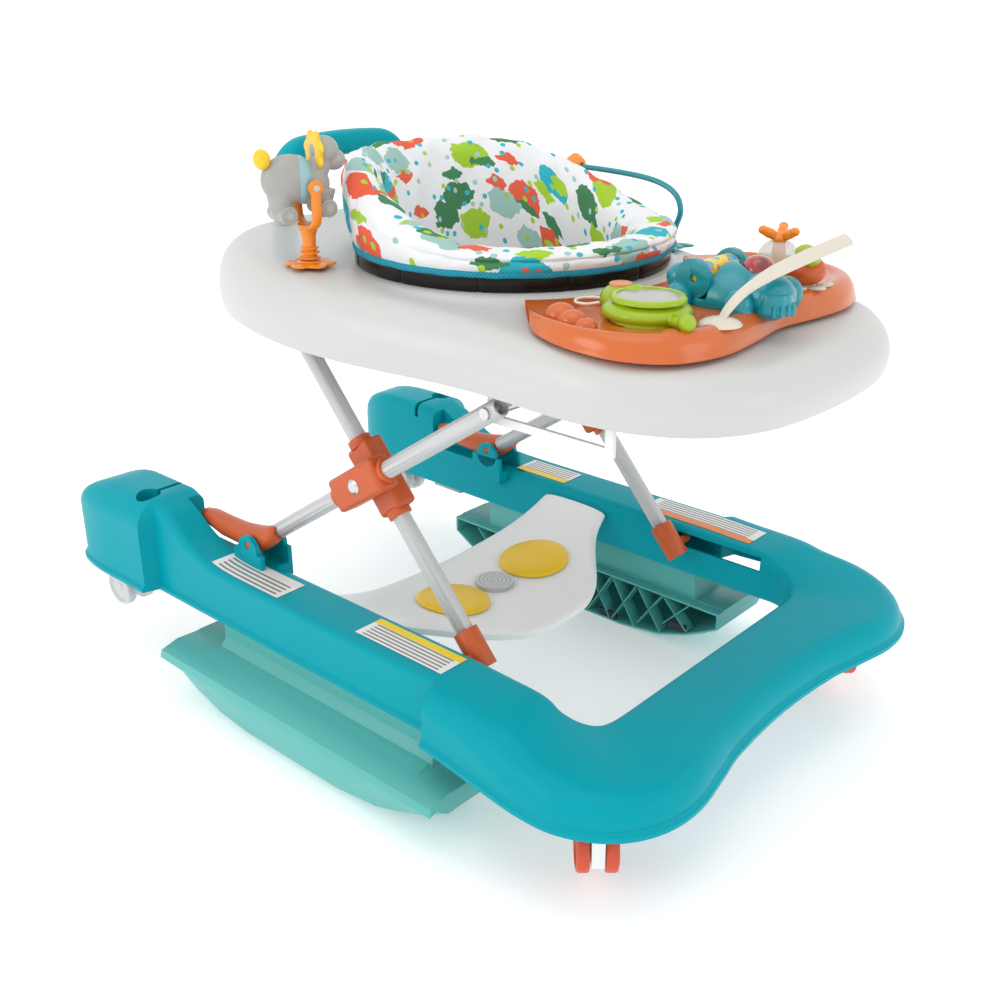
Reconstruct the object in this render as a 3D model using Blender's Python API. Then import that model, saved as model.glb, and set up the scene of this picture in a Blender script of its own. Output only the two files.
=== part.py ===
"""Baby walker with rocker rails, a scissor frame, a swivel seat and a play tray.

Metres, +Z up, floor at z = 0. The child faces -Y, and +X is the child's left.
"""

import math

import bmesh
import bpy
from mathutils import Matrix, Vector

# Scissor frame: two tube pairs that cross at the hubs
HUB_Y, HUB_Z = -0.021, 0.283
LIFT_ANGLE, SLIDE_ANGLE = math.radians(33.6), math.radians(49.0)
LOWER_ARM, UPPER_ARM = 0.1935, 0.1970
LIFT_X, SLIDE_X, TUBE_R, TUBE_WALL = 0.180, 0.160, 0.0088, 0.0014
# Base: a U of two rails and a front bar, open at the back
RAIL_IN, RAIL_OUT, RECESS_X, LOBE_X = 0.181, 0.259, 0.241, 0.275
LIP_Z, RAIL_Z, BAR_Z, KNOB_Z, WALL = 0.098, 0.152, 0.128, 0.2025, 0.003
KEYHOLE_X, KEYHOLE_Y, KEYHOLE_R = 0.230, 0.2815, 0.0135
SLOT_LOW, SLOT_HIGH, SLOT_FRONT, SLOT_BACK = 0.1288, 0.1452, -0.2480, -0.1400
# Rockers
ROCKER_IN, ROCKER_OUT, ROCKER_HALF, ROCKER_FLAT = 0.176, 0.285, 0.205, 0.070
ROCKER_BEND, ROCKER_SHELF, ROCKER_TOP = 0.215, 0.0625, 0.1025
# Wheels
CASTER_X, CASTER_Y, CASTER_TRAIL, CASTER_R, CASTER_LOW = 0.215, -0.335, 0.012, 0.024, 0.018
REAR_X, REAR_Y, REAR_R, REAR_LOW = 0.225, 0.352, 0.022, 0.045
WHEEL_IN, WHEEL_OUT, AXLE_R = 0.0065, 0.0185, 0.003
# Tray and seat, around the middle of the seat hole
SEAT_Y, HOLE_R, RIM_Z, RIM_SLOPE, TRAY_TOP, TRAY_SLOPE = -0.049, 0.1420, 0.4115, 0.028, 0.470, 0.060
RING_Z, RING_R, RING_NECK = 0.473, 0.152, 0.1395
PAD_LOW, PAD_IN, PAD_OUT, SLING_LOW = 0.385, 0.106, 0.1240, 0.345
TOY_TOP = 0.4725
YOKE_TURN = math.radians(75)
CASTER_TURN = math.radians(-48)
GAP = 0.0003

LIFT_PIVOT = (HUB_Y + LOWER_ARM * math.cos(LIFT_ANGLE), HUB_Z - LOWER_ARM * math.sin(LIFT_ANGLE))
LIFT_TOP = (HUB_Y - UPPER_ARM * math.cos(LIFT_ANGLE), HUB_Z + UPPER_ARM * math.sin(LIFT_ANGLE))
SLIDE_PIN = (HUB_Y - LOWER_ARM * math.cos(SLIDE_ANGLE), HUB_Z - LOWER_ARM * math.sin(SLIDE_ANGLE))
SLIDE_TOP = (HUB_Y + UPPER_ARM * math.cos(SLIDE_ANGLE), HUB_Z + UPPER_ARM * math.sin(SLIDE_ANGLE))

for old in list(bpy.data.objects):
    bpy.data.objects.remove(old, do_unlink=True)

parts = bpy.data.collections.new("baby_walker")
cutters = bpy.data.collections.new("cutters")
bpy.context.scene.collection.children.link(parts)
bpy.context.scene.collection.children.link(cutters)


def finish(name, colour, roughness, metallic=0.0):
    """A Principled material of one colour."""
    made = bpy.data.materials.new(name)
    made.use_nodes = True
    shader = made.node_tree.nodes["Principled BSDF"]
    shader.inputs["Base Color"].default_value = (*colour, 1)
    shader.inputs["Roughness"].default_value = roughness
    shader.inputs["Metallic"].default_value = metallic
    made.diffuse_color = (*colour, 1)
    return made


TEAL = finish("teal_plastic", (0.0, 0.36, 0.42), 0.35)
MINT = finish("mint_plastic", (0.16, 0.52, 0.48), 0.4)
WHITE = finish("white_plastic", (0.80, 0.80, 0.78), 0.35)
ORANGE = finish("orange_plastic", (0.78, 0.16, 0.03), 0.3)
YELLOW = finish("yellow_plastic", (0.80, 0.56, 0.02), 0.35)
LIME = finish("lime_plastic", (0.45, 0.60, 0.02), 0.3)
GREY = finish("grey_plastic", (0.42, 0.43, 0.42), 0.45)
BLACK = finish("black_plastic", (0.02, 0.02, 0.02), 0.4)
RED = finish("red_plastic", (0.42, 0.01, 0.02), 0.15)
CREAM = finish("cream_plastic", (0.62, 0.57, 0.47), 0.45)
PAINT = finish("painted_tube", (0.78, 0.78, 0.76), 0.3)
STEEL = finish("steel", (0.6, 0.6, 0.6), 0.3, 1.0)
CLOTH = finish("printed_cloth", (0.75, 0.78, 0.76), 0.9)
NAVY = finish("navy_cloth", (0.02, 0.10, 0.18), 0.9)


def add(name, mesh, material, home=parts):
    obj = bpy.data.objects.new(name, mesh)
    home.objects.link(obj)
    if material:
        mesh.materials.append(material)
    return obj


def from_bmesh(name, shape, material, home=parts, smooth=True):
    bmesh.ops.remove_doubles(shape, verts=shape.verts, dist=1e-7)
    bmesh.ops.recalc_face_normals(shape, faces=shape.faces)
    mesh = bpy.data.meshes.new(name)
    shape.to_mesh(mesh)
    shape.free()
    if smooth:
        mesh.shade_smooth()
        mesh.set_sharp_from_angle(angle=math.radians(35))
    return add(name, mesh, material, home)


def loft(name, rings, material, closed=False, home=parts):
    """A solid through rings of points, each ring a closed outline. An open loft is capped."""
    shape = bmesh.new()
    loops = [[shape.verts.new(point) for point in ring] for ring in rings]
    pairs = list(zip(loops, loops[1:]))
    if closed:
        pairs.append((loops[-1], loops[0]))
    for first, second in pairs:
        for i in range(len(first)):
            j = (i + 1) % len(first)
            shape.faces.new((first[i], first[j], second[j], second[i]))
    if not closed:
        shape.faces.new(reversed(loops[0]))
        shape.faces.new(loops[-1])
    return from_bmesh(name, shape, material, home)


def box(name, low, high, material=None, home=parts, bevel=0.0):
    shape = bmesh.new()
    bmesh.ops.create_cube(shape, size=1)
    size = Vector(high) - Vector(low)
    middle = (Vector(high) + Vector(low)) / 2
    bmesh.ops.transform(shape, matrix=Matrix.Translation(middle) @ Matrix.Diagonal((*size, 1)),
                        verts=shape.verts)
    if bevel:
        bmesh.ops.bevel(shape, geom=shape.edges, offset=bevel, segments=2, profile=0.5,
                        affect="EDGES", material=-1)
    return from_bmesh(name, shape, material, home, smooth=False)


def turned(name, profile, place, material, axis="Z", steps=32, home=parts, stretch=(1, 1, 1)):
    """A solid of revolution. The profile is (radius, height) pairs, from top axis to bottom axis."""
    turn = {"Z": Matrix(), "X": Matrix.Rotation(math.pi / 2, 4, "Y"),
            "Y": Matrix.Rotation(-math.pi / 2, 4, "X")}[axis]
    shape = bmesh.new()
    line = [shape.verts.new((radius, 0, height)) for radius, height in profile]
    edges = [shape.edges.new(pair) for pair in zip(line, line[1:])]
    if profile[0][0] > 1e-6:
        edges.append(shape.edges.new((line[-1], line[0])))
    bmesh.ops.spin(shape, geom=line + edges, cent=(0, 0, 0), axis=(0, 0, 1), angle=2 * math.pi,
                   steps=steps, use_merge=True)
    bmesh.ops.transform(shape, verts=shape.verts,
                        matrix=Matrix.Translation(place) @ turn @ Matrix.Diagonal((*stretch, 1)))
    bmesh.ops.remove_doubles(shape, verts=shape.verts, dist=1e-6)
    return from_bmesh(name, shape, material, home)


def rod(name, start, end, radius, material, sides=16, home=parts):
    """A straight round bar between two points."""
    start, end = Vector(start), Vector(end)
    along = end - start
    shape = bmesh.new()
    bmesh.ops.create_cone(shape, cap_ends=True, segments=sides, radius1=radius, radius2=radius,
                          depth=along.length)
    turn = along.to_track_quat("Z", "Y").to_matrix().to_4x4()
    bmesh.ops.transform(shape, matrix=Matrix.Translation((start + end) / 2) @ turn, verts=shape.verts)
    return from_bmesh(name, shape, material, home)


def bent_tube(name, points, radius, material, resolution=3):
    """A round tube along hand-placed points, as a polyline curve with filled caps."""
    curve = bpy.data.curves.new(name, "CURVE")
    curve.dimensions = "3D"
    curve.bevel_depth = radius
    curve.bevel_resolution = resolution
    curve.use_fill_caps = True
    spline = curve.splines.new("POLY")
    spline.points.add(len(points) - 1)
    for slot, point in zip(spline.points, points):
        slot.co = (*point, 1)
    curve.materials.append(material)
    obj = bpy.data.objects.new(name, curve)
    parts.objects.link(obj)
    return obj


def smooth_path(points, count, cyclic=False):
    """Evenly numbered points on a Catmull-Rom curve through hand-placed ones."""
    points = [Vector(point) for point in points]
    last = len(points) if cyclic else len(points) - 1
    found = []
    for n in range(count if cyclic else count + 1):
        t = n * last / count
        i = min(int(t), last - 1)
        t -= i
        if cyclic:
            a, b, c, d = (points[(i + k) % len(points)] for k in (-1, 0, 1, 2))
        else:
            b, c = points[i], points[i + 1]
            a = points[i - 1] if i else 2 * b - c
            d = points[i + 2] if i + 2 < len(points) else 2 * c - b
        found.append(0.5 * (2 * b + (c - a) * t + (2 * a - 5 * b + 4 * c - d) * t * t
                            + (3 * b - a - 3 * c + d) * t ** 3))
    return found


def cut(obj, cutter):
    cutter.hide_render = True
    cutter.display_type = "WIRE"
    step = obj.modifiers.new(cutter.name, "BOOLEAN")
    step.operation = "DIFFERENCE"
    step.solver = "EXACT"
    step.object = cutter


def blend(low, high, share):
    share = min(1.0, max(0.0, share))
    return low + (high - low) * share * share * (3 - 2 * share)


def side_name(side):
    return "left" if side > 0 else "right"


# ---------------------------------------------------------------- base
# Each station is (inner x, inner y, outer x, outer y, top z, roundness of the outer shoulder).
BASE_STATIONS = [
    (0.213, 0.412, 0.226, 0.417, 0.120, 0.006),
    (0.203, 0.405, 0.241, 0.409, 0.160, 0.010),
    (0.190, 0.386, 0.253, 0.390, 0.187, 0.016),
    (RAIL_IN, 0.352, RAIL_OUT, 0.352, 0.2005, 0.032),
    (RAIL_IN, 0.310, RAIL_OUT, 0.310, KNOB_Z, 0.032),
    (RAIL_IN, 0.264, RAIL_OUT, 0.264, KNOB_Z, 0.032),
    (RAIL_IN, 0.258, RECESS_X, 0.258, 0.2005, 0.016),
    (RAIL_IN, 0.236, RECESS_X, 0.236, 0.190, 0.012),
    (RAIL_IN, 0.205, RECESS_X, 0.205, 0.170, 0.009),
    (RAIL_IN, 0.170, RECESS_X, 0.170, 0.157, 0.007),
    (RAIL_IN, 0.130, RECESS_X, 0.130, RAIL_Z, 0.006),
    (RAIL_IN, 0.000, RECESS_X, 0.000, RAIL_Z, 0.006),
    (RAIL_IN, -0.166, RECESS_X, -0.166, RAIL_Z, 0.006),
    (RAIL_IN, -0.172, 0.260, -0.172, RAIL_Z, 0.020),
    (RAIL_IN, -0.205, 0.264, -0.208, 0.151, 0.026),
    (RAIL_IN, -0.248, 0.271, -0.260, 0.149, 0.034),
    (RAIL_IN, -0.266, LOBE_X, -0.298, 0.141, 0.038),
    (0.178, -0.278, 0.273, -0.332, 0.136, 0.037),
    (0.172, -0.287, 0.259, -0.364, 0.132, 0.036),
    (0.163, -0.293, 0.236, -0.387, 0.129, 0.034),
    (0.151, -0.296, 0.205, -0.400, BAR_Z, 0.032),
    (0.132, -0.297, 0.168, -0.402, BAR_Z, 0.030),
    (0.105, -0.297, 0.125, -0.394, BAR_Z, 0.026),
    (0.070, -0.297, 0.080, -0.385, BAR_Z, 0.024),
    (0.000, -0.297, 0.000, -0.380, BAR_Z, 0.024),
]


def base_ring(station, side, inset):
    """One cross-section of the U, from the outer lip over the top to the inner edge."""
    inner_x, inner_y, outer_x, outer_y, top, shoulder = station
    inner, outer = Vector((inner_x, inner_y)), Vector((outer_x, outer_y))
    across = (outer - inner).normalized()
    inner, outer = inner + across * inset, outer - across * inset
    width = (outer - inner).length
    low = LIP_Z if not inset else LIP_Z - 0.02
    top -= inset
    round_in = min(0.010, (top - LIP_Z) * 0.4, width * 0.3)
    shoulder = min(shoulder, (top - LIP_Z) * 0.8, width * 0.6)
    flare = 0.004 if not inset else 0.0
    marks = [(width + flare, low), (width + flare, LIP_Z + 0.004), (width, LIP_Z + 0.008)]
    for angle in (0, 30, 60, 90):
        turn = math.radians(angle)
        marks.append((width - shoulder * (1 - math.cos(turn)),
                      top - shoulder * (1 - math.sin(turn))))
    marks += [(round_in, top), (round_in * 0.3, top - round_in * 0.3), (0, top - round_in), (0, low)]
    points = []
    for distance, height in marks:
        place = inner + across * distance
        points.append(Vector((side * place.x, place.y, height)))
    return points


def base_loft(name, inset, material, home):
    rings = [base_ring(station, 1, inset) for station in BASE_STATIONS]
    rings += [base_ring(station, -1, inset) for station in reversed(BASE_STATIONS[:-1])]
    if inset:
        for ring in (rings[0], rings[-1]):
            for point in ring:
                point.y -= inset
    return loft(name, rings, material, home=home)


def joined(obj, name, piece):
    """Joins a helper solid to a part and leaves the helper out of the render."""
    piece.hide_render = True
    piece.display_type = "WIRE"
    step = obj.modifiers.new(name, "BOOLEAN")
    step.operation = "UNION"
    step.solver = "EXACT"
    step.object = piece


def side_box(name, side, x_low, x_high, y_low, y_high, z_low, z_high):
    """A helper box, given on the left side and mirrored for the right."""
    near, far = sorted((side * x_low, side * x_high))
    return box(name, (near, y_low, z_low), (far, y_high, z_high), home=cutters)


def make_base():
    """A hollow U open underneath, with a pivot cradle, a pin slot and a toothed rack each side."""
    shell = base_loft("base_shell", 0.0, TEAL, parts)
    hollow = base_loft("base_hollow", WALL, None, cutters)
    y, z = LIFT_PIVOT
    for side in (-1, 1):
        end = side_name(side)
        cut(hollow, side_box(f"cradle_block_{end}", side, 0.170, 0.2045, 0.095, 0.254, 0.1465, 0.24))
        cut(hollow, side_box(f"key_block_{end}", side, 0.2120, 0.2460, 0.260, 0.303, 0.160, 0.24))
    cut(shell, hollow)
    for side in (-1, 1):
        end = side_name(side)
        joined(shell, f"cradle_{end}", side_box(f"cradle_{end}", side, 0.1655, 0.2062,
                                                0.118, 0.164, 0.1350, 0.1845))
        cut(shell, side_box(f"shoe_notch_{end}", side, 0.1705, 0.2010, 0.098, 0.250, 0.1500, 0.24))
        cut(shell, rod(f"pivot_bore_{end}", (side * 0.150, y, z), (side * 0.215, y, z), 0.0043,
                       None, 16, cutters))
        cut(shell, rod(f"keyhole_{end}", (side * KEYHOLE_X, KEYHOLE_Y, 0.168),
                       (side * KEYHOLE_X, KEYHOLE_Y, 0.22), KEYHOLE_R, None, 20, cutters))
        cut(shell, side_box(f"keyslot_{end}", side, 0.175, KEYHOLE_X - 0.006, KEYHOLE_Y - 0.003,
                            KEYHOLE_Y + 0.003, 0.184, 0.22))
        joined(shell, f"rack_{end}", make_rack(side))
        cut(shell, side_box(f"pin_slot_{end}", side, 0.170, 0.190, SLOT_FRONT, SLOT_BACK,
                            SLOT_LOW, SLOT_HIGH))
        joined(shell, f"caster_boss_{end}",
               rod(f"caster_boss_{end}", (side * CASTER_X, CASTER_Y, 0.086),
                   (side * CASTER_X, CASTER_Y, 0.128), 0.013, None, 20, cutters))
        cut(shell, rod(f"caster_socket_{end}", (side * CASTER_X, CASTER_Y, 0.07),
                       (side * CASTER_X, CASTER_Y, 0.114), 0.0051, None, 16, cutters))
        joined(shell, f"axle_boss_{end}",
               side_box(f"axle_boss_{end}", side, REAR_X - 0.0120, REAR_X + 0.0120, REAR_Y - 0.010,
                        REAR_Y + 0.009, 0.1120, 0.1968))
        cut(shell, rod(f"axle_socket_{end}", (side * REAR_X, REAR_Y, 0.1),
                       (side * REAR_X, REAR_Y, 0.147), 0.0051, None, 16, cutters))
        for spot, x, back, front, depth in (("rear", RECESS_X + 0.001, 0.262, 0.212, 0.010),
                                            ("front", 0.258, -0.220, -0.262, 0.014)):
            near, far = sorted((side * (x - 0.050), side * (x - 0.012)))
            box(f"stop_pad_{spot}_{end}", (near, front, LIP_Z - GAP - depth),
                (far, back, LIP_Z - GAP), GREY, bevel=0.0015)


def make_rack(side):
    """The toothed lattice on the rail's inner wall, under the slot that the slider pin runs in."""
    end = side_name(side)
    near, far = sorted((side * 0.1765, side * (RAIL_IN + 0.001)))
    rack = box(f"rack_{end}", (near, -0.262, 0.100), (far, -0.136, 0.1275), home=cutters)
    shape = bmesh.new()
    count, pitch = 6, 0.019
    for i in range(count):
        middle = -0.256 + pitch * (i + 0.5)
        tip, foot = (0.1225, 0.106) if i % 2 else (0.106, 0.1225)
        corners = [(middle - 0.0072, foot), (middle + 0.0072, foot), (middle, tip)]
        sides = [[shape.verts.new((x, y, z)) for y, z in corners]
                 for x in (side * 0.170, side * 0.190)]
        shape.faces.new(sides[0])
        shape.faces.new(sides[1])
        for k in range(3):
            shape.faces.new((sides[0][k], sides[0][(k + 1) % 3], sides[1][(k + 1) % 3], sides[1][k]))
    cut(rack, from_bmesh(f"rack_windows_{end}", shape, None, cutters, smooth=False))
    return rack


def make_footrest():
    """A sling-shaped footboard between the rails, with two pads and a disc pressed on it."""
    rings = []
    steps = 14
    for n in range(steps + 1):
        across = -1 + 2 * n / steps
        x = across * 0.1775
        height = 0.108 + 0.034 * abs(across) ** 2.4
        middle = blend(0.0, 1.0, 1.25 - 1.25 * abs(across))
        back, front = 0.050 + 0.012 * middle, -0.038 - 0.084 * middle
        rings.append([Vector((x, y, z)) for y, z in (
            (front, height - 0.014), (front - 0.003, height - 0.006), (front + 0.006, height),
            (back - 0.006, height), (back + 0.003, height - 0.006), (back, height - 0.014),
            (back - 0.003, height - 0.014), (back - 0.006, height - 0.004),
            (front + 0.006, height - 0.004), (front + 0.003, height - 0.014))])
    loft("footrest_panel", rings, WHITE)
    for side in (-1, 1):
        profile = [(0, 0.1170), (0.030, 0.1155), (0.0395, 0.1120), (0.0400, 0.1090), (0, 0.1090)]
        pad = turned(f"foot_pad_{side_name(side)}", profile, (side * 0.066, -0.024, 0), YELLOW, steps=28)
        for corner in pad.data.vertices:
            corner.co.z += 0.034 * abs(corner.co.x / 0.1775) ** 2.4
    turned("footrest_disc", [(0, 0.1130), (0.021, 0.1125), (0.0222, 0.1086), (0, 0.1086)],
           (0, -0.024, 0), GREY, steps=24)


# ---------------------------------------------------------------- rockers
def rocker_bottom(y):
    over = max(0.0, abs(y) - ROCKER_FLAT)
    return over * over / (2 * ROCKER_BEND)


def rocker_ring(y, side, wall, block):
    low = rocker_bottom(y) + wall
    top = (ROCKER_TOP if block else ROCKER_SHELF + 0.0005) - wall
    shelf = ROCKER_SHELF - wall
    inner = ROCKER_IN if not wall else ROCKER_IN - 0.02
    marks = [(inner, low), (0.262 - wall, low), (0.276 - wall, low + 0.010),
             (ROCKER_OUT - wall, 0.050), (0.283 - wall, 0.058 - wall), (0.262, 0.0635 - wall),
             (0.2425, 0.0655 - wall if block else shelf),
             (0.2345 - wall, 0.0750 - wall if block else shelf),
             (0.2345 - wall, top), (0.188 + wall, top), (0.188 + wall, shelf - 0.0005),
             (inner, shelf - 0.0005)]
    return [Vector((side * x, y, z)) for x, z in marks]


def make_rockers():
    block_back, block_front, step = 0.152, -0.162, 0.004
    for side in (-1, 1):
        end = side_name(side)
        for wall in (0.0, 0.0025):
            stations = [(-ROCKER_HALF + wall, False), (-0.186, False),
                        (block_front - step + wall, False), (block_front + wall, True),
                        (-0.125, True), (-ROCKER_FLAT, True), (0.0, True), (ROCKER_FLAT, True),
                        (0.115, True), (block_back - wall, True), (block_back + step - wall, False),
                        (0.180, False), (ROCKER_HALF - wall, False)]
            rings = [rocker_ring(y, side, wall, block) for y, block in stations]
            if wall:
                cut(outer, loft(f"rocker_hollow_{end}", rings, None, home=cutters))
            else:
                outer = loft(f"rocker_{end}", rings, MINT)


# ---------------------------------------------------------------- wheels
def make_wheels(kind, side, x, y, radius, low, trail, stem_top):
    """Twin wheels pressed on one axle, and the fork between them."""
    end = side_name(side)
    axle = (side * x, y + trail, low + radius)
    turned(f"{kind}_wheels_{end}",
           [(0, WHEEL_OUT), (radius - 0.003, WHEEL_OUT), (radius, WHEEL_OUT - 0.003),
            (radius, WHEEL_IN + 0.001), (radius - 0.001, WHEEL_IN), (AXLE_R, WHEEL_IN),
            (AXLE_R, -WHEEL_IN), (radius - 0.001, -WHEEL_IN), (radius, -WHEEL_IN - 0.001),
            (radius, -WHEEL_OUT + 0.003), (radius - 0.003, -WHEEL_OUT), (0, -WHEEL_OUT)],
           axle, ORANGE if kind == "caster" else GREY, axis="X", steps=24)
    half = WHEEL_IN - 0.0008
    body = box(f"{kind}_fork_{end}", (axle[0] - half, y - 0.011, axle[2] - 0.008),
               (axle[0] + half, axle[1] + 0.011, low + 2 * radius + 0.0185), WHITE)
    bore = rod(f"{kind}_bore_{end}", (axle[0] - 0.02, axle[1], axle[2]),
               (axle[0] + 0.02, axle[1], axle[2]), AXLE_R + GAP, None, 16, cutters)
    cut(body, bore)
    stem = rod(f"{kind}_stem_{end}", (side * x, y, low + 2 * radius),
               (side * x, y, stem_top), 0.0048, None, 16, cutters)
    joined(body, "stem", stem)
    if kind == "caster":
        turn = Matrix.Translation((side * x, y, 0)) @ Matrix.Rotation(CASTER_TURN, 4, "Z")
        for piece in ("wheels", "fork", "bore", "stem"):
            bpy.data.objects[f"caster_{piece}_{end}"].matrix_world = turn @ Matrix.Translation((-side * x, -y, 0))


# ---------------------------------------------------------------- scissor frame
def along(point, angle, distance):
    return point[0] + distance * math.cos(angle), point[1] + distance * math.sin(angle)


def make_frame():
    """Two lift tubes and two slide tubes, with a crossbar through the top of each pair."""
    lift_dir = math.pi - LIFT_ANGLE
    hub = (HUB_Y, HUB_Z)
    for side in (-1, 1):
        end = side_name(side)
        low = along(hub, lift_dir, -LOWER_ARM + 0.014)
        high = along(hub, lift_dir, UPPER_ARM + 0.012)
        lift = rod(f"lift_tube_{end}", (side * LIFT_X, *low), (side * LIFT_X, *high), TUBE_R, PAINT, 20)
        low = along(hub, SLIDE_ANGLE, -LOWER_ARM + 0.014)
        high = along(hub, SLIDE_ANGLE, UPPER_ARM + 0.012)
        slide = rod(f"slide_tube_{end}", (side * SLIDE_X, *low), (side * SLIDE_X, *high), TUBE_R,
                    PAINT, 20)
        for tube, point, x in ((lift, LIFT_TOP, LIFT_X), (slide, SLIDE_TOP, SLIDE_X)):
            away = Vector((0, point[0] - HUB_Y, point[1] - HUB_Z)).normalized() * 0.26
            middle = Vector((side * x, *hub))
            cut(tube, rod(f"{tube.name}_inside", middle - away, middle + away, TUBE_R - TUBE_WALL,
                          None, 16, cutters))
            cut(tube, rod(f"{tube.name}_end_bore", (side * (x - 0.02), *point),
                          (side * (x + 0.02), *point), 0.0053, None, 16, cutters))
            cut(tube, rod(f"{tube.name}_hub_bore", (side * (x - 0.02), *hub),
                          (side * (x + 0.02), *hub), 0.0043, None, 14, cutters))
        make_hub(side)
        make_shoe(side)
        make_cap(side)
    rod("lift_crossbar", (-LIFT_X - 0.0105, *LIFT_TOP), (LIFT_X + 0.0105, *LIFT_TOP), 0.005, STEEL, 16)
    rod("slide_crossbar", (-SLIDE_X - 0.0103, *SLIDE_TOP), (SLIDE_X + 0.0103, *SLIDE_TOP), 0.005,
        STEEL, 16)


def clamp(name, x_low, x_high, tube_x, angle, side):
    """Half of a hub: a rounded block moulded round its tube."""
    shape = bmesh.new()
    bmesh.ops.create_cube(shape, size=1)
    bmesh.ops.transform(shape, verts=shape.verts,
                        matrix=Matrix.Diagonal((x_high - x_low, 0.074, 0.034, 1)))
    bmesh.ops.bevel(shape, geom=list(shape.edges), offset=0.004, segments=2, profile=0.5,
                    affect="EDGES", material=-1)
    middle = Vector((side * (x_low + x_high) / 2, HUB_Y, HUB_Z))
    place = Matrix.Translation(middle) @ Matrix.Rotation(angle, 4, "X")
    bmesh.ops.transform(shape, matrix=place, verts=shape.verts)
    block = from_bmesh(name, shape, ORANGE, smooth=False)
    reach = Vector((0, math.cos(angle), math.sin(angle))) * 0.06
    bore = Vector((side * tube_x, HUB_Y, HUB_Z))
    cut(block, rod(f"{name}_bore", bore - reach, bore + reach, TUBE_R + GAP, None, 20, cutters))
    cut(block, rod(f"{name}_rivet_bore", (side * 0.130, HUB_Y, HUB_Z), (side * 0.215, HUB_Y, HUB_Z),
                   0.0043, None, 14, cutters))


def make_hub(side):
    end = side_name(side)
    clamp(f"hub_outer_{end}", 0.1702, 0.1938, LIFT_X, -LIFT_ANGLE, side)
    clamp(f"hub_inner_{end}", 0.1462, 0.1698, SLIDE_X, SLIDE_ANGLE, side)
    turned(f"hub_rivet_{end}", [(0, 0.1968), (0.0050, 0.1960), (0.0075, 0.1941), (0.004, 0.1941),
                                (0.004, 0.1459), (0.0075, 0.1459), (0.0050, 0.1440), (0, 0.1432)],
           (0, HUB_Y, HUB_Z), STEEL, axis="X", steps=16, stretch=(1, 1, side))


def make_shoe(side):
    """The knuckle at the tube's foot. Its own trunnions turn in the base's cradle."""
    end = side_name(side)
    y, z = LIFT_PIVOT
    rows = [(y - 0.030, z + 0.016, 0.0100, 0.0080), (y - 0.020, z + 0.010, 0.0124, 0.0118),
            (y - 0.006, z + 0.003, 0.0128, 0.0142), (y + 0.006, z, 0.0128, 0.0145),
            (y + 0.030, z - 0.002, 0.0128, 0.0125), (y + 0.060, z - 0.002, 0.0128, 0.0115),
            (y + 0.086, z + 0.001, 0.0115, 0.0090), (y + 0.098, z + 0.003, 0.0080, 0.0050)]
    rings = []
    for at, middle, half_x, half_z in rows:
        rings.append([Vector((side * 0.1862 + half_x * math.cos(a), at, middle + half_z * math.sin(a)))
                      for a in (math.tau * k / 16 for k in range(16))])
    shoe = loft(f"pivot_shoe_{end}", rings, ORANGE)
    joined(shoe, f"trunnion_{end}", rod(f"trunnion_{end}", (side * 0.1658, y, z),
                                        (side * 0.2058, y, z), 0.004, None, 16, cutters))
    hub = (HUB_Y, HUB_Z)
    inside = along(hub, math.pi - LIFT_ANGLE, -LOWER_ARM + 0.0137)
    outside = along(hub, math.pi - LIFT_ANGLE, -LOWER_ARM + 0.09)
    cut(shoe, rod(f"shoe_socket_{end}", (side * LIFT_X, *inside), (side * LIFT_X, *outside),
                  TUBE_R + GAP, None, 20, cutters))


def make_cap(side):
    """The end cap of the slide tube, with the pin that runs in the rail's slot."""
    end = side_name(side)
    hub = (HUB_Y, HUB_Z)
    foot = along(hub, SLIDE_ANGLE, -LOWER_ARM - 0.014)
    head = along(hub, SLIDE_ANGLE, -LOWER_ARM + 0.026)
    bottom = along(hub, SLIDE_ANGLE, -LOWER_ARM + 0.0137)
    above = along(hub, SLIDE_ANGLE, -LOWER_ARM + 0.08)
    cap = rod(f"slider_cap_{end}", (side * SLIDE_X, *foot), (side * SLIDE_X, *head), 0.0125,
              ORANGE, 20)
    y, z = SLIDE_PIN
    joined(cap, f"slider_pin_{end}", rod(f"slider_pin_{end}", (side * SLIDE_X, y, z),
                                         (side * 0.1900, y, z), 0.0045, None, 16, cutters))
    cut(cap, rod(f"cap_socket_{end}", (side * SLIDE_X, *bottom), (side * SLIDE_X, *above),
                 TUBE_R + GAP, None, 20, cutters))


# ---------------------------------------------------------------- tray
TRAY_HALF = [(0.000, 0.252), (0.080, 0.250), (0.135, 0.230), (0.178, 0.190), (0.207, 0.125),
             (0.224, 0.040), (0.220, -0.040), (0.206, -0.110), (0.195, -0.170), (0.194, -0.230),
             (0.192, -0.280), (0.178, -0.330), (0.150, -0.370), (0.105, -0.397), (0.050, -0.407),
             (0.000, -0.409)]


def tray_outline(count):
    left = [(-x, y, 0) for x, y in reversed(TRAY_HALF[1:-1])]
    return smooth_path([(x, y, 0) for x, y in TRAY_HALF] + left, count, cyclic=True)


def tray_top(y):
    return TRAY_TOP + TRAY_SLOPE * (y - SEAT_Y)


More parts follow.
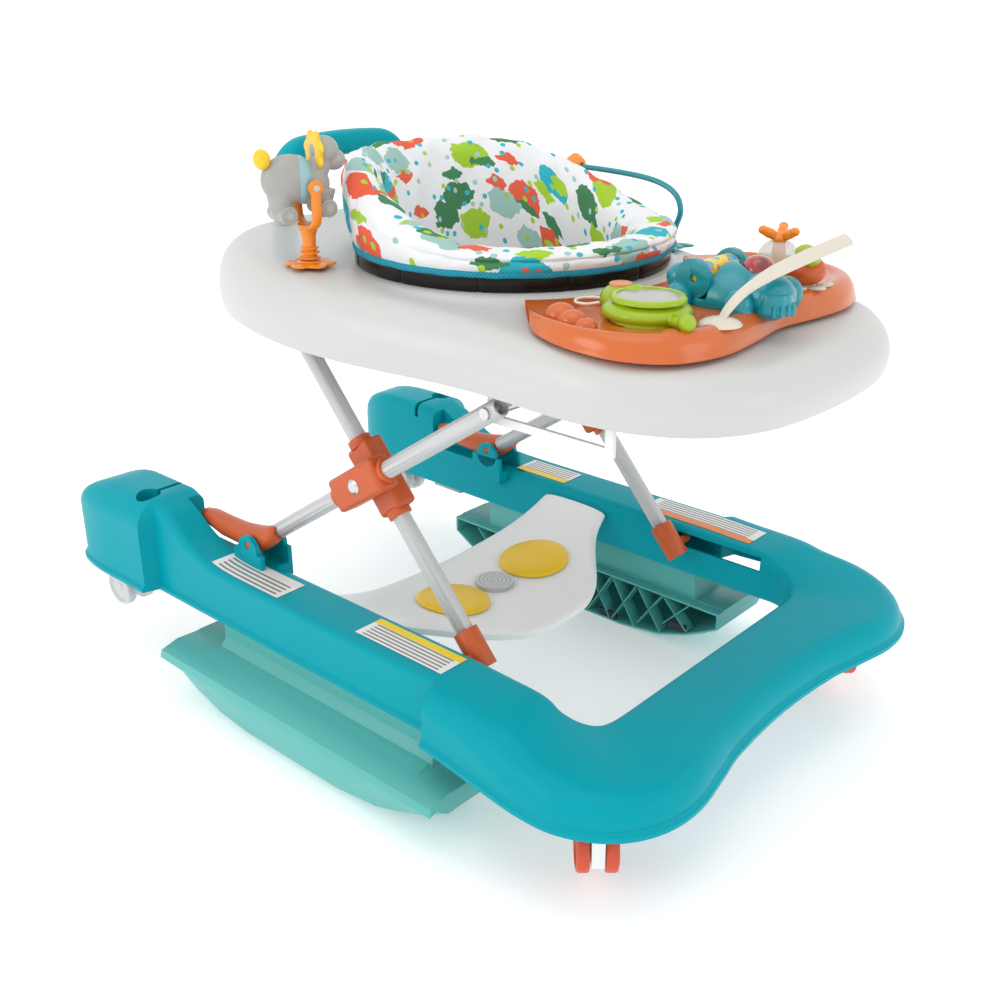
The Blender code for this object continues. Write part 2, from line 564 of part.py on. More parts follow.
def make_tray():
    """A rounded shell, open underneath, with a flat collar round the seat hole."""
    centre = Vector((0, SEAT_Y, 0))
    rings = []
    for point in tray_outline(56):
        inward = (centre - point).normalized()
        reach = (point - centre).length
        top, rim, skin = tray_top(point.y), RIM_Z + RIM_SLOPE * (point.y + 0.080), 0.003
        fall = top - rim
        ease = tray_top(SEAT_Y + (point.y - SEAT_Y) * 0.1645 / reach)
        marks = [(0.004, rim), (0.000, rim + 0.30 * fall), (0.003, rim + 0.58 * fall),
                 (0.010, top - 0.20 * fall), (0.021, top - 0.05 * fall), (0.034, top),
                 (reach - 0.1645, ease), (reach - 0.160, RING_Z), (reach - HOLE_R, RING_Z)]
        lower = [(reach - HOLE_R, RING_Z - skin), (reach - 0.160, RING_Z - skin),
                 (reach - 0.1645, ease - skin), (0.034, top - skin), (0.0225, top - 0.05 * fall - skin),
                 (0.0128, top - 0.20 * fall - 0.6 * skin), (0.006, rim + 0.58 * fall),
                 (0.003, rim + 0.30 * fall), (0.007, rim)]
        rings.append([point + inward * into + Vector((0, 0, z)) for into, z in marks + lower])
    loft("tray_shell", rings, WHITE, closed=True)
    for side in (-1, 1):
        end = side_name(side)
        y, z = LIFT_TOP
        near, far = sorted((side * 0.1632, side * 0.1672))
        guide = loft(f"tray_guide_{end}",
                     [[Vector((near, at, low)), Vector((far, at, low)), Vector((far, at, high)),
                       Vector((near, at, high))]
                      for at, low, high in ((-0.300, z - 0.0165, tray_top(-0.300) - 0.0075),
                                            (-0.168, z - 0.0165, tray_top(-0.168) - 0.0075))], WHITE)
        cut(guide, side_box(f"guide_slot_{end}", side, 0.15, 0.19, -0.292, -0.176, z - 0.009, z + 0.009))
        y, z = SLIDE_TOP
        near, far = sorted((side * 0.1410, side * 0.1460))
        bracket = box(f"tray_bracket_{end}", (near, y - 0.022, z - 0.013), (far, y + 0.022, tray_top(y - 0.022) - 0.0038),
                      WHITE)
        cut(bracket, rod(f"bracket_bore_{end}", (side * 0.13, y, z), (side * 0.16, y, z), 0.0053,
                         None, 16, cutters))


def make_handle():
    """The push handle, an arch that plugs into the back of the tray."""
    y, top, half, bend = 0.195, 0.5615, 0.082, 0.030
    foot = tray_top(y + 0.0115) + 0.0022
    points = [(-half, y, foot), (-half, y, 0.510), (-half, y, top - bend)]
    for n in range(1, 6):
        turn = math.pi * n / 10
        points.append((-half + bend * (1 - math.cos(turn)), y, top - bend + bend * math.sin(turn)))
    points += [(-x, y, z) for x, y, z in reversed(points)]
    bent_tube("push_handle", points, 0.0115, TEAL, 2)


# ---------------------------------------------------------------- seat
def make_seat():
    """A swivelling ring, the cushion hooked over it, and the crotch sling under it."""
    turned("seat_ring", [(0.1330, 0.4870), (RING_R, 0.4870), (RING_R, RING_Z + GAP),
                         (RING_NECK, RING_Z + GAP), (RING_NECK, 0.4560), (0.1330, 0.4560)],
           (0, SEAT_Y, 0), BLACK, steps=48)
    rings = []
    steps = 36
    for n in range(steps):
        turn = math.tau * n / steps
        back = blend(0, 1, (math.sin(turn) + 0.55) / 1.5)
        top = 0.509 + 0.063 * back
        lean = 0.008 * back
        marks = [(PAD_OUT - 0.008, PAD_LOW), (PAD_OUT, PAD_LOW + 0.012), (PAD_OUT, 0.4700),
                 (0.1290, 0.4800), (0.1310, 0.4875), (0.1500, 0.4875), (0.1555, 0.4960),
                 (0.1540, top - 0.010), (0.1430 + lean, top), (0.1240 + lean, top),
                 (0.1130, top - 0.010), (PAD_IN, 0.4700), (PAD_IN + 0.003, PAD_LOW + 0.012),
                 (PAD_IN + 0.008, PAD_LOW)]
        rings.append([Vector((r * math.cos(turn), SEAT_Y + r * math.sin(turn), z))
                      for r, z in marks])
    loft("seat_pad", rings, CLOTH, closed=True)
    rings = []
    steps = 12
    for n in range(steps + 1):
        turn = math.pi * n / steps
        y = SEAT_Y - 0.115 * math.cos(turn)
        z = PAD_LOW - 0.0023 - (PAD_LOW - 0.0023 - SLING_LOW) * math.sin(turn) ** 0.8
        half = 0.045 + 0.018 * abs(math.cos(turn))
        out = Vector((0, -math.cos(turn) * 0.6, -math.sin(turn) - 0.001)).normalized() * 0.002
        if n in (0, steps):
            out = Vector((0, -math.cos(turn) * 0.002, 0))
        rings.append([Vector((-half, y, z)) - out, Vector((half, y, z)) - out,
                      Vector((half, y, z)) + out, Vector((-half, y, z)) + out])
    loft("seat_sling", rings, NAVY)


# ---------------------------------------------------------------- toys
TOY_EDGE = [(-0.135, -0.188), (-0.165, -0.215), (-0.178, -0.260), (-0.172, -0.305),
            (-0.145, -0.338), (-0.100, -0.352), (-0.050, -0.350), (0.000, -0.344),
            (0.050, -0.350), (0.100, -0.352), (0.145, -0.338), (0.172, -0.305),
            (0.178, -0.260), (0.165, -0.215), (0.135, -0.188)]


def make_toy_tray():
    """A glossy crescent that wraps the front of the seat hole."""
    centre = Vector((0, SEAT_Y, 0))
    rings = []
    edge = smooth_path([(x, y, 0) for x, y in TOY_EDGE], 36)
    for i, point in enumerate(edge):
        out = (point - centre).normalized()
        far, near = (point - centre).length, 0.1672
        ends = min(i, len(edge) - 1 - i)
        top = TOY_TOP - (0.004, 0.001, 0)[min(ends, 2)]
        inner, outer = centre + out * near, centre + out * far
        marks = [(near, tray_top(inner.y) + 0.001), (near, top - 0.003), (near + 0.003, top),
                 (far - 0.010, top), (far - 0.003, top - 0.004), (far, tray_top(outer.y) + 0.0012)]
        rings.append([centre + out * r + Vector((0, 0, z)) for r, z in marks])
    loft("toy_tray", rings, ORANGE)


def dome(name, x, y, low, radius, height, material, steps=24, stretch=(1, 1, 1)):
    profile = [(radius * math.sin(math.radians(a)), height * math.cos(math.radians(a)))
               for a in (0, 20, 40, 60, 75, 90)]
    profile.append((0, 0))
    return turned(name, profile, (x, y, low), material, steps=steps, stretch=stretch)


def make_toys():
    """The toys on the crescent, each with its own moving piece."""
    floor = TOY_TOP + GAP
    turned("turtle_toy", [(0, 0.0215), (0.0240, 0.0205), (0.0330, 0.016), (0.0360, 0.006),
                          (0.0350, 0), (0, 0)], (-0.105, -0.280, floor), LIME, steps=24,
           stretch=(0.95, 1.05, 1))
    whale_x, whale_y = -0.010, -0.300
    whale = dome("whale_toy", whale_x, whale_y, floor, 0.0420, 0.034, TEAL, 28, (0.88, 1.0, 1.0))
    cut(whale, rod("dome_well", (0.000, -0.3185, floor + 0.010), (0.000, -0.3185, floor + 0.06),
                   0.0168, None, 20, cutters))
    cut(whale, box("drum_well", (-0.060, -0.2990, floor + 0.006), (0.040, -0.2690, floor + 0.06),
                   home=cutters))
    for spot, x in (("outer", -0.0415), ("inner", 0.0155)):
        joined(whale, f"roller_post_{spot}", rod(f"roller_post_{spot}", (x - 0.0025, -0.2840, floor + 0.0215),
                                                 (x + 0.0025, -0.2840, floor + 0.0215), 0.0165, None,
                                                 20, cutters))
    cut(whale, box("roller_post_floor", (-0.07, -0.31, floor - 0.02), (0.05, -0.26, floor), home=cutters))
    cut(whale, rod("roller_bore", (-0.060, -0.2840, floor + 0.0215), (0.040, -0.2840, floor + 0.0215),
                   0.0033, None, 14, cutters))
    turned("press_dome", [(0, 0.030), (0.008, 0.0282), (0.0135, 0.023), (0.0160, 0.014),
                          (0.0160, 0.006), (0, 0.006)], (0.000, -0.3185, floor + 0.009), RED, steps=20)
    turned("picture_roller", [(0, 0.0278), (0.003, 0.0278), (0.003, 0.0248), (0.0125, 0.0242),
                              (0.0125, -0.0242), (0.003, -0.0248), (0.003, -0.0278), (0, -0.0278)],
           (-0.0130, -0.2840, floor + 0.0215), YELLOW, axis="X", steps=20)
    leaf = smooth_path([(-0.082, -0.336, floor + 0.0030), (-0.074, -0.340, 0.4880),
                        (-0.060, -0.345, 0.4985), (-0.032, -0.352, 0.5085),
                        (0.004, -0.362, 0.5170), (0.044, -0.3735, 0.5255)], 20)
    blade = []
    for n, point in enumerate(leaf):
        before, after = leaf[max(0, n - 1)], leaf[min(len(leaf) - 1, n + 1)]
        ahead = (after - before).normalized()
        flat = Vector((0, 0, 1)).cross(ahead).normalized()
        up = ahead.cross(flat).normalized()
        roll = math.radians(35) * blend(0, 1, n / 6)
        flat, up = flat * math.cos(roll) + up * math.sin(roll), up * math.cos(roll) - flat * math.sin(roll)
        half = 0.0042 + 0.0022 * blend(0, 1, (n - 7) / 7)
        thick = 0.0018
        blade.append([point + flat * half - up * thick * 0.4, point + flat * half * 0.7 + up * thick,
                      point - flat * half * 0.7 + up * thick, point - flat * half - up * thick * 0.4,
                      point - up * thick])
    stalk = loft("leaf_stalk", blade, CREAM)
    joined(stalk, "leaf_base", turned("leaf_base", [(0, 0.006), (0.009, 0.005), (0.016, 0.0025),
                                                    (0.0175, 0), (0, 0)],
                                      (-0.082, -0.336, floor), None, steps=20, home=cutters))
    turned("lime_ring", [(0.019, 0.009), (0.025, 0.013), (0.031, 0.008), (0.032, 0), (0, 0),
                         (0, 0.006), (0.019, 0.006)], (0.105, -0.278, floor), LIME, steps=24)
    turned("propeller", [(0, 0.045), (0.012, 0.043), (0.018, 0.038), (0.012, 0.034), (0.0045, 0.030),
                         (0.0045, 0.010), (0.0095, 0.0083), (0.0095, 0.0063), (0, 0.0063)],
           (0.105, -0.278, floor), ORANGE, steps=16)
    turned("flower_spinner", [(0, 0.036), (0.006, 0.0345), (0.014, 0.030), (0.020, 0.020),
                              (0.018, 0.010), (0.023, 0.003), (0.023, 0.0005), (0, 0)],
           (0.069, -0.326, floor), ORANGE, steps=20)
    cord = smooth_path([(-0.1120, -0.2408, 0.4800), (-0.1150, -0.2300, 0.4775),
                        (-0.1130, -0.2180, 0.4765), (-0.1040, -0.2110, 0.4765),
                        (-0.0940, -0.2140, 0.4765), (-0.0890, -0.2240, 0.4770),
                        (-0.0900, -0.2340, 0.4780), (-0.0925, -0.2425, 0.4800)], 22)
    bent_tube("pull_cord", cord, 0.0012, WHITE, 1)


def make_yoke():
    """The near-side swivel post with a tilting toy animal."""
    x, y = -0.170, 0.050
    low = tray_top(y + 0.025) + 0.0009
    turned("yoke_base", [(0.0062, 0.006), (0.017, 0.0045), (0.024, 0.0012), (0.024, 0), (0.0062, 0)],
           (x, y, low), ORANGE, steps=24)
    post = turned("yoke", [(0, 0.042), (0.0072, 0.042), (0.0072, 0.0066), (0.0056, 0.0062),
                           (0.0056, 0.0005), (0, 0.0005)], (x, y, low), ORANGE, steps=16)
    joined(post, "yoke_arms", box("yoke_arms", (x - 0.0235, y - 0.005, low + 0.034),
                                  (x + 0.0235, y + 0.005, low + 0.082), home=cutters))
    cut(post, box("yoke_gap", (x - 0.0178, y - 0.02, low + 0.0395), (x + 0.0178, y + 0.02, low + 0.1),
                  home=cutters))
    pin_z = low + 0.072
    cut(post, rod("yoke_bore", (x - 0.03, y, pin_z), (x + 0.03, y, pin_z), 0.0033, None, 14, cutters))
    rows = ((-0.036, 0.026, 0.008, 0.45), (-0.030, 0.024, 0.018, 0.8), (-0.018, 0.014, 0.027, 0.95),
            (0.000, 0.002, 0.030, 1.0), (0.018, 0.002, 0.029, 1.0), (0.032, 0.004, 0.025, 0.9),
            (0.042, 0.008, 0.012, 0.5))
    rings = []
    for at, rise, tall, wide in rows:
        rings.append([Vector((x + 0.0165 * wide * math.cos(a), y + at, pin_z + rise + tall * math.sin(a)))
                      for a in (math.tau * k / 14 for k in range(14))])
    animal = loft("rocking_animal", rings, GREY)
    joined(animal, "animal_pins", rod("animal_pins", (x - 0.0232, y, pin_z), (x + 0.0232, y, pin_z),
                                      0.003, None, 14, cutters))
    turn = Matrix.Translation((x, y, 0)) @ Matrix.Rotation(YOKE_TURN, 4, "Z")
    for obj in bpy.data.objects:
        if obj.name.startswith(("yoke", "rocking_animal", "animal")):
            obj.matrix_world = turn @ Matrix.Translation((-x, -y, 0))


def make_bead_arch():
    """The far-side wire arch with a bead that spins on its top bar."""
    x, front, back, top = 0.166, -0.120, 0.136, 0.5340
    points = smooth_path([(x, front, tray_top(front) + 0.001), (x, front - 0.004, 0.486),
                          (x, front - 0.010, 0.506), (x, front + 0.002, 0.524),
                          (x, front + 0.040, top), (x, 0.008, top + 0.003), (x, back - 0.040, top),
                          (x, back - 0.002, 0.526), (x, back + 0.010, 0.512),
                          (x, back + 0.004, 0.498), (x, back, tray_top(back) + 0.0036)], 40)
    bent_tube("bead_arch", points, 0.0033, TEAL, 2)
    turned("slide_bead", [(0.0040, 0.010), (0.009, 0.0085), (0.0140, 0), (0.009, -0.0085),
                          (0.0040, -0.010)], (x, 0.008, top + 0.003), ORANGE, axis="Y", steps=20)


make_base()
make_footrest()
make_rockers()
for hand in (-1, 1):
    make_wheels("caster", hand, CASTER_X, CASTER_Y, CASTER_R, CASTER_LOW, CASTER_TRAIL, 0.111)
    make_wheels("rear", hand, REAR_X, REAR_Y, REAR_R, REAR_LOW, 0.0, 0.1465)
make_frame()
make_tray()
make_handle()
make_seat()
make_toy_tray()
make_toys()
make_yoke()
make_bead_arch()
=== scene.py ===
"""Looks for the baby walker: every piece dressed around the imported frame.

Metres, +Z up, floor at z = 0. The child faces -Y, and +X is the child's left.
"""

import math

import bmesh
import bpy
from mathutils import Matrix, Vector


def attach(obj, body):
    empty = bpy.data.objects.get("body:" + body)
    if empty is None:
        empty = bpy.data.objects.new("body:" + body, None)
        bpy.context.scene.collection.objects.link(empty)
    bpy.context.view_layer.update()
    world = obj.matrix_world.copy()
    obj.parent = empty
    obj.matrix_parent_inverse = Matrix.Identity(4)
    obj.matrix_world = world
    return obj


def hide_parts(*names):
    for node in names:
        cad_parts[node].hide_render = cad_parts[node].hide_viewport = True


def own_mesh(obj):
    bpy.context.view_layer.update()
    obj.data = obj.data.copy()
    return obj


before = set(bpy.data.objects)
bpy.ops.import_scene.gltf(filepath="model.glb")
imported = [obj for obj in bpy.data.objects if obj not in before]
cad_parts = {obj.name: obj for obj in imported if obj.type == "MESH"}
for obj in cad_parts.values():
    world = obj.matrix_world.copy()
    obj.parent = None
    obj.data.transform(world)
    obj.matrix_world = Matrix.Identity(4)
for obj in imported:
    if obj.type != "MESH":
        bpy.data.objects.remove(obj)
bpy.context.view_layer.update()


# ---------------------------------------------------------------- camera, floor and light
# A room corner for the walker: one pale floor, a soft overhead light, a soft side light from the
# camera's left, and an even pale surround.
CAMERA_PLACE, CAMERA_TURN, CAMERA_TILT, CAMERA_ROLL = (-0.869, -0.813, 0.714), -48.05, 23.31, -0.1
LENS, SENSOR = 42.9, 36.0

camera_data = bpy.data.cameras.new("camera")
camera_data.lens, camera_data.sensor_width, camera_data.clip_start = LENS, SENSOR, 0.02
camera = bpy.data.objects.new("camera", camera_data)
bpy.context.scene.collection.objects.link(camera)
camera.matrix_world = (
    Matrix.Translation(CAMERA_PLACE)
    @ Matrix.Rotation(math.radians(CAMERA_TURN), 4, "Z")
    @ Matrix.Rotation(math.radians(90 - CAMERA_TILT), 4, "X")
    @ Matrix.Rotation(math.radians(CAMERA_ROLL), 4, "Z")
)
bpy.context.scene.camera = camera
bpy.context.scene.view_settings.view_transform = "Standard"
bpy.context.scene.view_settings.exposure = 0.0


def soft_light(name, place, aim, size, power, colour):
    lamp = bpy.data.lights.new(name, "AREA")
    lamp.shape, lamp.size, lamp.energy, lamp.color = "DISK", size, power, colour
    lamp_object = bpy.data.objects.new(name, lamp)
    lamp_object.location = place
    away = Vector(place) - Vector(aim)
    lamp_object.rotation_euler = away.to_track_quat("Z", "Y").to_euler()
    bpy.context.scene.collection.objects.link(lamp_object)


soft_light("overhead", (-0.5, -0.3, 2.4), (0, 0, 0.2), 1.8, 6, (1, 0.99, 0.97))
soft_light("left_side", (-2.2, 0.6, 1.3), (0, 0, 0.3), 1.2, 8, (1, 1, 1))
soft_light("front_right", (0.6, -2.4, 1.2), (0, 0, 0.3), 1.2, 4, (0.98, 0.99, 1))

surround = bpy.data.worlds.new("surround")
bpy.context.scene.world = surround
surround.use_nodes = True
surround.node_tree.nodes["Background"].inputs["Color"].default_value = (1, 1, 1, 1)
surround.node_tree.nodes["Background"].inputs["Strength"].default_value = 1.0

floor_shape = bmesh.new()
bmesh.ops.create_grid(floor_shape, x_segments=2, y_segments=2, size=60)
bmesh.ops.translate(floor_shape, verts=floor_shape.verts, vec=(0, 0, -0.0005))
floor_mesh = bpy.data.meshes.new("floor")
floor_shape.to_mesh(floor_mesh)
floor_shape.free()
floor = bpy.data.objects.new("floor", floor_mesh)
bpy.context.scene.collection.objects.link(floor)
pale = bpy.data.materials.new("pale_floor")
pale.use_nodes = True
pale.node_tree.nodes["Principled BSDF"].inputs["Base Color"].default_value = (1.0, 1.0, 1.0, 1)
pale.node_tree.nodes["Principled BSDF"].inputs["Roughness"].default_value = 0.8
pale.node_tree.nodes["Principled BSDF"].inputs["Emission Color"].default_value = (1, 1, 1, 1)
pale.node_tree.nodes["Principled BSDF"].inputs["Emission Strength"].default_value = 0.22
floor.data.materials.append(pale)


# ---------------------------------------------------------------- moulded plastic
# Nearly every hard piece is injection-moulded plastic: an even colour with a faint cloudiness, a
# fine spark-eroded grain, and hairline scuffs that change its gloss.
def new_group(name, inputs, outputs):
    group = bpy.data.node_groups.new(name, "ShaderNodeTree")
    for label, kind, value in inputs:
        socket = group.interface.new_socket(label, in_out="INPUT", socket_type=kind)
        socket.default_value = value
    for label, kind in outputs:
        group.interface.new_socket(label, in_out="OUTPUT", socket_type=kind)
    return group, group.nodes.new("NodeGroupInput"), group.nodes.new("NodeGroupOutput")


FLOAT, COLOUR = "NodeSocketFloat", "NodeSocketColor"


def make_plastic_group():
    group, given, out = new_group(
        "moulded_skin",
        [("Colour", COLOUR, (1, 1, 1, 1)), ("Cloudiness", FLOAT, 0.06), ("Grain Scale", FLOAT, 900.0),
         ("Roughness", FLOAT, 0.35), ("Scuffs", FLOAT, 0.12)],
        [("Colour", COLOUR), ("Roughness", FLOAT), ("Height", FLOAT)],
    )
    nodes, link = group.nodes, group.links.new
    place = nodes.new("ShaderNodeTexCoord")
    clouds = nodes.new("ShaderNodeTexNoise")
    clouds.inputs["Scale"].default_value = 9
    clouds.inputs["Detail"].default_value = 4
    link(place.outputs["Object"], clouds.inputs["Vector"])
    centred = nodes.new("ShaderNodeMath")
    centred.operation = "MULTIPLY_ADD"
    link(clouds.outputs["Fac"], centred.inputs[0])
    link(given.outputs["Cloudiness"], centred.inputs[1])
    centred.inputs[2].default_value = 0.97
    tint = nodes.new("ShaderNodeVectorMath")
    tint.operation = "SCALE"
    link(given.outputs["Colour"], tint.inputs[0])
    link(centred.outputs[0], tint.inputs["Scale"])
    link(tint.outputs[0], out.inputs["Colour"])
    stretch = nodes.new("ShaderNodeMapping")
    stretch.inputs["Scale"].default_value = (260, 34, 90)
    stretch.inputs["Rotation"].default_value = (0.4, 0.2, 0.7)
    link(place.outputs["Object"], stretch.inputs["Vector"])
    scratches = nodes.new("ShaderNodeTexNoise")
    scratches.inputs["Scale"].default_value = 1.0
    scratches.inputs["Detail"].default_value = 3
    link(stretch.outputs[0], scratches.inputs["Vector"])
    rough = nodes.new("ShaderNodeMath")
    rough.operation = "MULTIPLY_ADD"
    link(scratches.outputs["Fac"], rough.inputs[0])
    link(given.outputs["Scuffs"], rough.inputs[1])
    link(given.outputs["Roughness"], rough.inputs[2])
    link(rough.outputs[0], out.inputs["Roughness"])
    grain = nodes.new("ShaderNodeTexNoise")
    grain.inputs["Detail"].default_value = 2
    link(given.outputs["Grain Scale"], grain.inputs["Scale"])
    link(place.outputs["Object"], grain.inputs["Vector"])
    link(grain.outputs["Fac"], out.inputs["Height"])
    return group


moulded_skin = make_plastic_group()


def moulded(name, colour, roughness=0.33, grain=900.0, depth=0.05, cloudiness=0.06, scuffs=0.12, coat=0.0):
    """A finished plastic: its colour, gloss and the grain of its mould."""
    made = bpy.data.materials.new(name)
    made.use_nodes = True
    nodes, link = made.node_tree.nodes, made.node_tree.links.new
    shader = nodes["Principled BSDF"]
    skin = nodes.new("ShaderNodeGroup")
    skin.node_tree = moulded_skin
    skin.inputs["Colour"].default_value = (*colour, 1)
    skin.inputs["Cloudiness"].default_value = cloudiness
    skin.inputs["Grain Scale"].default_value = grain
    skin.inputs["Roughness"].default_value = roughness - scuffs / 2
    skin.inputs["Scuffs"].default_value = scuffs
    link(skin.outputs["Colour"], shader.inputs["Base Color"])
    link(skin.outputs["Roughness"], shader.inputs["Roughness"])
    bump = nodes.new("ShaderNodeBump")
    bump.inputs["Strength"].default_value = depth
    bump.inputs["Distance"].default_value = 0.0005
    link(skin.outputs["Height"], bump.inputs["Height"])
    link(bump.outputs["Normal"], shader.inputs["Normal"])
    shader.inputs["Coat Weight"].default_value = coat
    shader.inputs["Coat Roughness"].default_value = 0.08
    return made


teal_skin = moulded("teal_shell_plastic", (0.0, 0.325, 0.395), 0.36, 1100, 0.08, 0.08)
teal_skin.node_tree.nodes["Principled BSDF"].inputs["Specular IOR Level"].default_value = 0.10
white_skin = moulded("white_shell_plastic", (0.585, 0.59, 0.575), 0.34, 1300, 0.04, 0.03)
orange_skin = moulded("orange_gloss_plastic", (0.60, 0.125, 0.018), 0.22, 1500, 0.02, 0.08, 0.08, 0.3)


def show(shape, name, body, finish, angle=35, levels=0, replaced=()):
    """Turns a finished bmesh into a piece that rides on a body."""
    bmesh.ops.recalc_face_normals(shape, faces=shape.faces)
    mesh = bpy.data.meshes.new(name)
    shape.to_mesh(mesh)
    shape.free()
    mesh.shade_smooth()
    mesh.set_sharp_from_angle(angle=math.radians(angle))
    mesh.materials.append(finish)
    piece = bpy.data.objects.new(name, mesh)
    bpy.context.scene.collection.objects.link(piece)
    if levels:
        rounded = piece.modifiers.new("rounded", "SUBSURF")
        rounded.levels = rounded.render_levels = levels
    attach(piece, body)
    if replaced:
        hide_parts(*replaced)
    return piece


def merged_copy(node):
    """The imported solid's own shape, welded, with its triangles joined back into quads."""
    shape = bmesh.new()
    shape.from_mesh(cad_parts[node].data)
    bmesh.ops.remove_doubles(shape, verts=shape.verts, dist=2e-6)
    bmesh.ops.join_triangles(shape, faces=shape.faces, angle_face_threshold=0.7,
                             angle_shape_threshold=0.7)
    return shape


def rounded_copy(node, body, finish, crease=50, levels=2, width=0.0006):
    """A node shown with soft moulded edges: its hard edges bevelled, then the whole subdivided."""
    shape = merged_copy(node)
    sharp = [edge for edge in shape.edges
             if len(edge.link_faces) == 2 and edge.calc_face_angle(0) > math.radians(crease)]
    bmesh.ops.bevel(shape, geom=sharp, offset=width, segments=2, profile=0.5, affect="EDGES",
                    clamp_overlap=True, material=-1)
    return show(shape, f"{node}_rounded", body, finish, 40, levels, (node,))


def softened(node, body, finish, angle=35):
    """A node shown as it is, with its curved faces shaded smooth."""
    return show(merged_copy(node), f"{node}_smooth", body, finish, angle, 0, (node,))


def side_of(hand):
    return "left" if hand > 0 else "right"


# ---------------------------------------------------------------- base shell
# The base is one U-shaped moulding, open underneath, with a raised knob at each back end. Its wall
# is 3 mm thick, and the rack, pin slots, pivot cradles and caster bosses are moulded in.
# Each station is (inner x, inner y, outer x, outer y, top z, roundness of the outer shoulder).
BASE_STATIONS = [
    (0.213, 0.412, 0.226, 0.417, 0.120, 0.006), (0.203, 0.405, 0.241, 0.409, 0.160, 0.010),
    (0.190, 0.386, 0.253, 0.390, 0.187, 0.016), (0.181, 0.352, 0.259, 0.352, 0.2005, 0.032),
    (0.181, 0.310, 0.259, 0.310, 0.2025, 0.032), (0.181, 0.264, 0.259, 0.264, 0.2025, 0.032),
    (0.181, 0.258, 0.241, 0.258, 0.2005, 0.016), (0.181, 0.236, 0.241, 0.236, 0.190, 0.012),
    (0.181, 0.205, 0.241, 0.205, 0.170, 0.009), (0.181, 0.170, 0.241, 0.170, 0.157, 0.007),
    (0.181, 0.130, 0.241, 0.130, 0.152, 0.006), (0.181, 0.000, 0.241, 0.000, 0.152, 0.006),
    (0.181, -0.166, 0.241, -0.166, 0.152, 0.006), (0.181, -0.172, 0.260, -0.172, 0.152, 0.020),
    (0.181, -0.205, 0.264, -0.208, 0.151, 0.026), (0.181, -0.248, 0.271, -0.260, 0.149, 0.034),
    (0.181, -0.266, 0.275, -0.298, 0.141, 0.038), (0.178, -0.278, 0.273, -0.332, 0.136, 0.037),
    (0.172, -0.287, 0.259, -0.364, 0.132, 0.036), (0.163, -0.293, 0.236, -0.387, 0.129, 0.034),
    (0.151, -0.296, 0.205, -0.400, 0.128, 0.032), (0.132, -0.297, 0.168, -0.402, 0.128, 0.030),
    (0.105, -0.297, 0.125, -0.394, 0.128, 0.026), (0.070, -0.297, 0.080, -0.385, 0.128, 0.024),
    (0.000, -0.297, 0.000, -0.380, 0.128, 0.024),
]
STEPS_AT = {5, 12}
LIP, WALL = 0.098, 0.003


def eased_station(t):
    """A station between the named ones, on a smooth curve that stays straight across the two steps."""
    i = min(int(t), len(BASE_STATIONS) - 2)
    t -= i
    b, c = (Vector(BASE_STATIONS[k]) for k in (i, i + 1))
    if i in STEPS_AT:
        return b.lerp(c, t)
    a = Vector(BASE_STATIONS[i - 1]) if i and i - 1 not in STEPS_AT else 2 * b - c
    d = (Vector(BASE_STATIONS[i + 2]) if i + 2 < len(BASE_STATIONS) and i + 1 not in STEPS_AT
         else 2 * c - b)
    if i + 2 >= len(BASE_STATIONS):
        d = Vector(b)
        d[0], d[2] = -b[0], -b[2]
    return 0.5 * (2 * b + (c - a) * t + (2 * a - 5 * b + 4 * c - d) * t * t
                  + (3 * b - a - 3 * c + d) * t ** 3)


def base_section(station, hand, inset):
    inner_x, inner_y, outer_x, outer_y, top, shoulder = station
    inner, outer = Vector((inner_x, inner_y)), Vector((outer_x, outer_y))
    across = (outer - inner).normalized()
    inner, outer = inner + across * inset, outer - across * inset
    width = (outer - inner).length
    low = LIP if not inset else LIP - 0.02
    top -= inset
    round_in = min(0.010, (top - LIP) * 0.4, width * 0.3)
    shoulder = min(shoulder, (top - LIP) * 0.8, width * 0.6)
    flare = 0.004 if not inset else 0.0
    marks = [(width + flare, low), (width + flare, LIP + 0.0040), (width + flare * 0.3, LIP + 0.0058),
             (width, LIP + 0.0080)]
    for n in range(9):
        turn = math.radians(90 * n / 8)
        marks.append((width - shoulder * (1 - math.cos(turn)), top - shoulder * (1 - math.sin(turn))))
    for n in range(6):
        turn = math.radians(90 * n / 5)
        marks.append((round_in * (1 - math.sin(turn)), top - round_in * (1 - math.cos(turn))))
    marks.append((0, low))
    return [Vector((hand * (inner + across * reach).x, (inner + across * reach).y, height))
            for reach, height in marks]


def lofted(sections):
    """Skins a closed solid: the first section is filled, and its rim is extruded from one to the next."""
    shape = bmesh.new()
    rim = [shape.verts.new(point) for point in sections[0]]
    edges = [shape.edges.new((rim[i], rim[(i + 1) % len(rim)])) for i in range(len(rim))]
    shape.faces.new(rim)
    for section in sections[1:]:
        made = bmesh.ops.extrude_edge_only(shape, edges=edges)["geom"]
        fresh = {edge for edge in made if isinstance(edge, bmesh.types.BMEdge)}
        edges = [edge for edge in fresh]
        onward = []
        for vert in rim:
            onward.append(next(edge.other_vert(vert) for edge in vert.link_edges
                               if edge.other_vert(vert) not in rim
                               and any(edge.other_vert(vert) in step.verts for step in fresh)))
        for vert, point in zip(onward, section):
            vert.co = point
        rim = onward
    shape.faces.new(rim)
    bmesh.ops.recalc_face_normals(shape, faces=shape.faces)
    return shape


def cutter(shape, name):
    bmesh.ops.recalc_face_normals(shape, faces=shape.faces)
    mesh = bpy.data.meshes.new(name)
    shape.to_mesh(mesh)
    shape.free()
    return bpy.data.objects.new(name, mesh)


